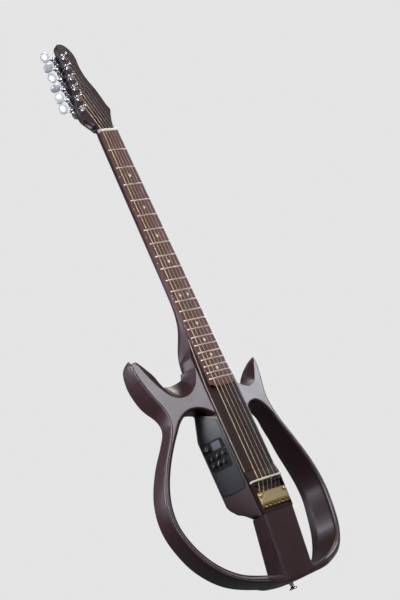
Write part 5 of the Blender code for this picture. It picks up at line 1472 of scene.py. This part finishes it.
class GUITAR_OT_back(Build):
    """Build the battery, its ribbed cover, the jacks and the strap buttons."""
    bl_idname = "guitar.back"
    bl_label = "Battery, jacks and strap buttons"

    def build(self, sizes, tones):
        x, s = BATTERY_MIDDLE
        wide, deep, long = BATTERY
        at = about(over_back, x, s)
        cell = plate(box_outline(-wide / 2, -long / 2 + 2.5, wide / 2, long / 2, 2.0), at, -deep, -1.0, 1.2, 1.2)
        piece("battery_cell", cell, "battery sleeve", "guitar", "battery_sleeve", "battery")
        caps = [turned(lambda a, b, out, u=u: at(u + a, out - long / 2 + 2.6, b - deep / 2 - 0.5),
                       ((r, 0.2), (r, -1.4), (r - 0.6, -2.2), (0.4, -2.2)), 24) for u, r in ((-6.3, 3.2), (6.3, 2.6))]
        piece("battery_caps", caps, "steel", "guitar", "steel")
        self.cover(at, wide / 2 + COVER_MARGIN, long / 2 + COVER_MARGIN)
        for name, jack_x, jack_s, bore in JACKS:
            self.jack(name, about(over_back, jack_x, jack_s), bore)
        middle = -BEAM_END_FRONT - BUTTON_BEHIND
        under = lambda a, b, drop: place(a, TAIL + drop, middle + b)
        profile = ((4.4, GAP), (4.2, 1.2), (3.2, 3.6), (3.1, 7.6), (4.2, 8.8), (STRAP_RADIUS - 0.3, STRAP_HIGH - 2.0),
                   (STRAP_RADIUS, STRAP_HIGH - 1.3), (STRAP_RADIUS - 0.4, STRAP_HIGH - 0.3), (5.2, STRAP_HIGH),
                   (2.6, STRAP_HIGH), (2.3, STRAP_HIGH - 0.7), (0.05, STRAP_HIGH - 0.75))
        for word, spot in (("tail", under), ("heel", about(over_back, 0.0, HEEL_BUTTON))):
            piece(f"strap_knob_{word}", turned(spot, soften(profile, 0.6), 56), "chrome", "guitar", "steel",
                  f"strap_button_{word}")
            washer = turned(spot, ((3.0, 0.05), (6.0, 0.05), (5.6, 0.25), (3.0, 0.28)), 40)
            piece(f"strap_washer_{word}", washer, "knob plastic", "guitar", "plastic")

    def cover(self, at, half, long):
        """Battery door: a ribbed plate hinged at its lower edge."""
        low, high = GAP, GAP + COVER_THICK
        leaf = plate(box_outline(-half, -long, half, long - HINGE_RADIUS, 1.6), at, low, high, 0.7, 0.2)
        ribs = [plate(box_outline(-9.0, y - 0.6, 9.0, y + 0.6, 0.5, 3), at, high - 0.1, high + 0.35, 0.25, 0.0, steps=3)
                for y in np.linspace(-long + 6.0, -long + 18.0, 6)]
        barrel = turned(lambda a, b, out: at(out, long + a, GAP + HINGE_RADIUS + b),
                        soften(((1.2, -half), (HINGE_RADIUS, -half + 0.3), (HINGE_RADIUS, half - 0.3), (1.2, half)), 0.1), 28)
        door = piece("battery_door", [leaf, *ribs, barrel], "charcoal plastic", "hatch", "plastic", "battery_cover")

    def jack(self, name, at, bore):
        """Jack socket: a barrel with a rounded bezel, and a plastic ring inside its bore."""
        profile = ((bore, 1.6 - JACK_LONG), (bore, 1.3), (bore + 0.3, 1.6), (6.0, 1.6), (6.4, 1.35), (8.1, 1.1), (8.5, 0.8),
                   (8.5, GAP), (JACK_RADIUS, GAP), (JACK_RADIUS, -JACK_LONG))
        piece(f"{name}_bezel", turned(at, profile, 64), "steel", "guitar", "steel", name)
        ring = turned(at, ((bore + 0.1, -3.0), (bore + 0.05, 1.2), (bore - 0.25, 1.2), (bore - 0.3, -3.0)), 48)
        piece(f"{name}_ring", ring, "knob plastic", "guitar", "plastic")


class GUITAR_OT_solids(Build):
    """Give the solid nodes that stay in view their finishes."""
    bl_idname = "guitar.solids"
    bl_label = "Kept solid pieces"

    def build(self, sizes, tones):
        for name, material in (("truss_rod", "steel"), ("piezo_pickup", "steel"), ("preamp_board", "circuit board")):
            obj = bpy.data.objects.get(name)
            if obj is None:
                raise RuntimeError(f"{name} is missing from the frame")
            for slot in obj.material_slots:
                slot.material = bpy.data.materials[material]


class GUITAR_OT_stage(Build):
    """Build the pale floor and backdrop, the lights, the world and the camera."""
    bl_idname = "guitar.stage"
    bl_label = "Stage"

    def build(self, sizes, tones):
        self.sweep(tuple(tones.backdrop))
        scene = bpy.context.scene
        world = bpy.data.worlds.new("soft light")
        world.use_nodes = True
        back = world.node_tree.nodes["Background"]
        back.inputs["Color"].default_value = (0.93, 0.95, 1.0, 1.0)
        back.inputs["Strength"].default_value = WORLD_LEVEL
        scene.world = world
        for name, spot, aim, size, watts, tint in LIGHTS:
            lamp = bpy.data.lights.new(name, "AREA")
            lamp.shape = "RECTANGLE"
            lamp.size, lamp.size_y = size
            lamp.energy = watts
            lamp.color = tint
            obj = bpy.data.objects.new(name, lamp)
            obj.location = spot
            obj.rotation_euler = (Vector(aim) - Vector(spot)).to_track_quat("-Z", "Y").to_euler()
            scene.collection.objects.link(obj)
        camera = bpy.data.objects.new("photo_camera", bpy.data.cameras.new("photo_camera"))
        camera.data.lens = 106.2
        camera.data.sensor_width = 36.0
        turn = Matrix(((0.65992, 0.128548, -0.740257), (-0.631721, -0.438436, -0.639299),
                       (-0.406736, 0.889522, -0.208126)))
        camera.matrix_world = Matrix.Translation((-2.17719, -1.95564, -0.11913)) @ turn.to_4x4()
        scene.collection.objects.link(camera)
        scene.camera = camera
        scene.view_settings.view_transform = "Standard"

    def sweep(self, tone):
        """Floor that turns up into a backdrop all round: a profile turned about the middle."""
        profile = soften(((0.05, FLOOR), (5200.0, FLOOR), (5200.0, 6000.0)), 1500.0, 12)
        shell = turned(lambda a, b, out: np.stack([a, b, out + 0 * a], -1) * MM, profile, 96)
        mesh = shell_mesh("backdrop", [(shell[0], shell[1], [], shell[3])], 60.0)
        obj = bpy.data.objects.new("backdrop", mesh)
        bpy.context.scene.collection.objects.link(obj)
        maker, vector = finish_of("backdrop")
        path = maker.add("ShaderNodeLightPath")
        seen = maker.tree.nodes[-1].outputs["Is Camera Ray"]
        glow = maker.add("ShaderNodeEmission", {"Color": tone, "Strength": 1.0})
        glossy = maker.tree.nodes["Light Path"].outputs["Is Glossy Ray"]
        matt = maker.add("ShaderNodeBsdfDiffuse", {"Color": (0.07, 0.07, 0.075)})
        soft = maker.add("ShaderNodeEmission", {"Color": (0.9, 0.95, 1.0), "Strength": 0.11})
        other = maker.add("ShaderNodeMixShader", {0: glossy, 1: matt, 2: soft})
        mixed = maker.add("ShaderNodeMixShader", {0: seen, 1: other, 2: glow})
        maker.add("ShaderNodeOutputMaterial", {"Surface": mixed})
        mesh.materials.append(bpy.data.materials["backdrop"])


OPERATORS = (GUITAR_OT_finishes, GUITAR_OT_body, GUITAR_OT_neck, GUITAR_OT_fretboard, GUITAR_OT_tuners,
             GUITAR_OT_strings, GUITAR_OT_bridge, GUITAR_OT_controls, GUITAR_OT_back, GUITAR_OT_solids,
             GUITAR_OT_stage)


class GUITAR_PT_panel(bpy.types.Panel):
    """Sizes, colours and the build steps in order."""
    bl_idname = "GUITAR_PT_panel"
    bl_label = "Silent guitar"
    bl_space_type = "VIEW_3D"
    bl_region_type = "UI"
    bl_category = "Guitar"

    def draw(self, context):
        for group_of in (context.scene.guitar_sizes, context.scene.guitar_colours):
            box = self.layout.box()
            for name in group_of.bl_rna.properties.keys():
                if name not in ("rna_type", "name"):
                    box.prop(group_of, name)
        column = self.layout.column()
        for operator in OPERATORS:
            column.operator(operator.bl_idname)


CLASSES = (GuitarSizes, GuitarColours, *OPERATORS, GUITAR_PT_panel)


def register():
    for item in CLASSES:
        bpy.utils.register_class(item)
    bpy.types.Scene.guitar_sizes = PointerProperty(type=GuitarSizes)
    bpy.types.Scene.guitar_colours = PointerProperty(type=GuitarColours)


def unregister():
    del bpy.types.Scene.guitar_colours
    del bpy.types.Scene.guitar_sizes
    for item in reversed(CLASSES):
        bpy.utils.unregister_class(item)


def main():
    register()
    for operator in OPERATORS:
        area, name = operator.bl_idname.split(".")
        getattr(getattr(bpy.ops, area), name)()


if __name__ == "__main__":
    main()
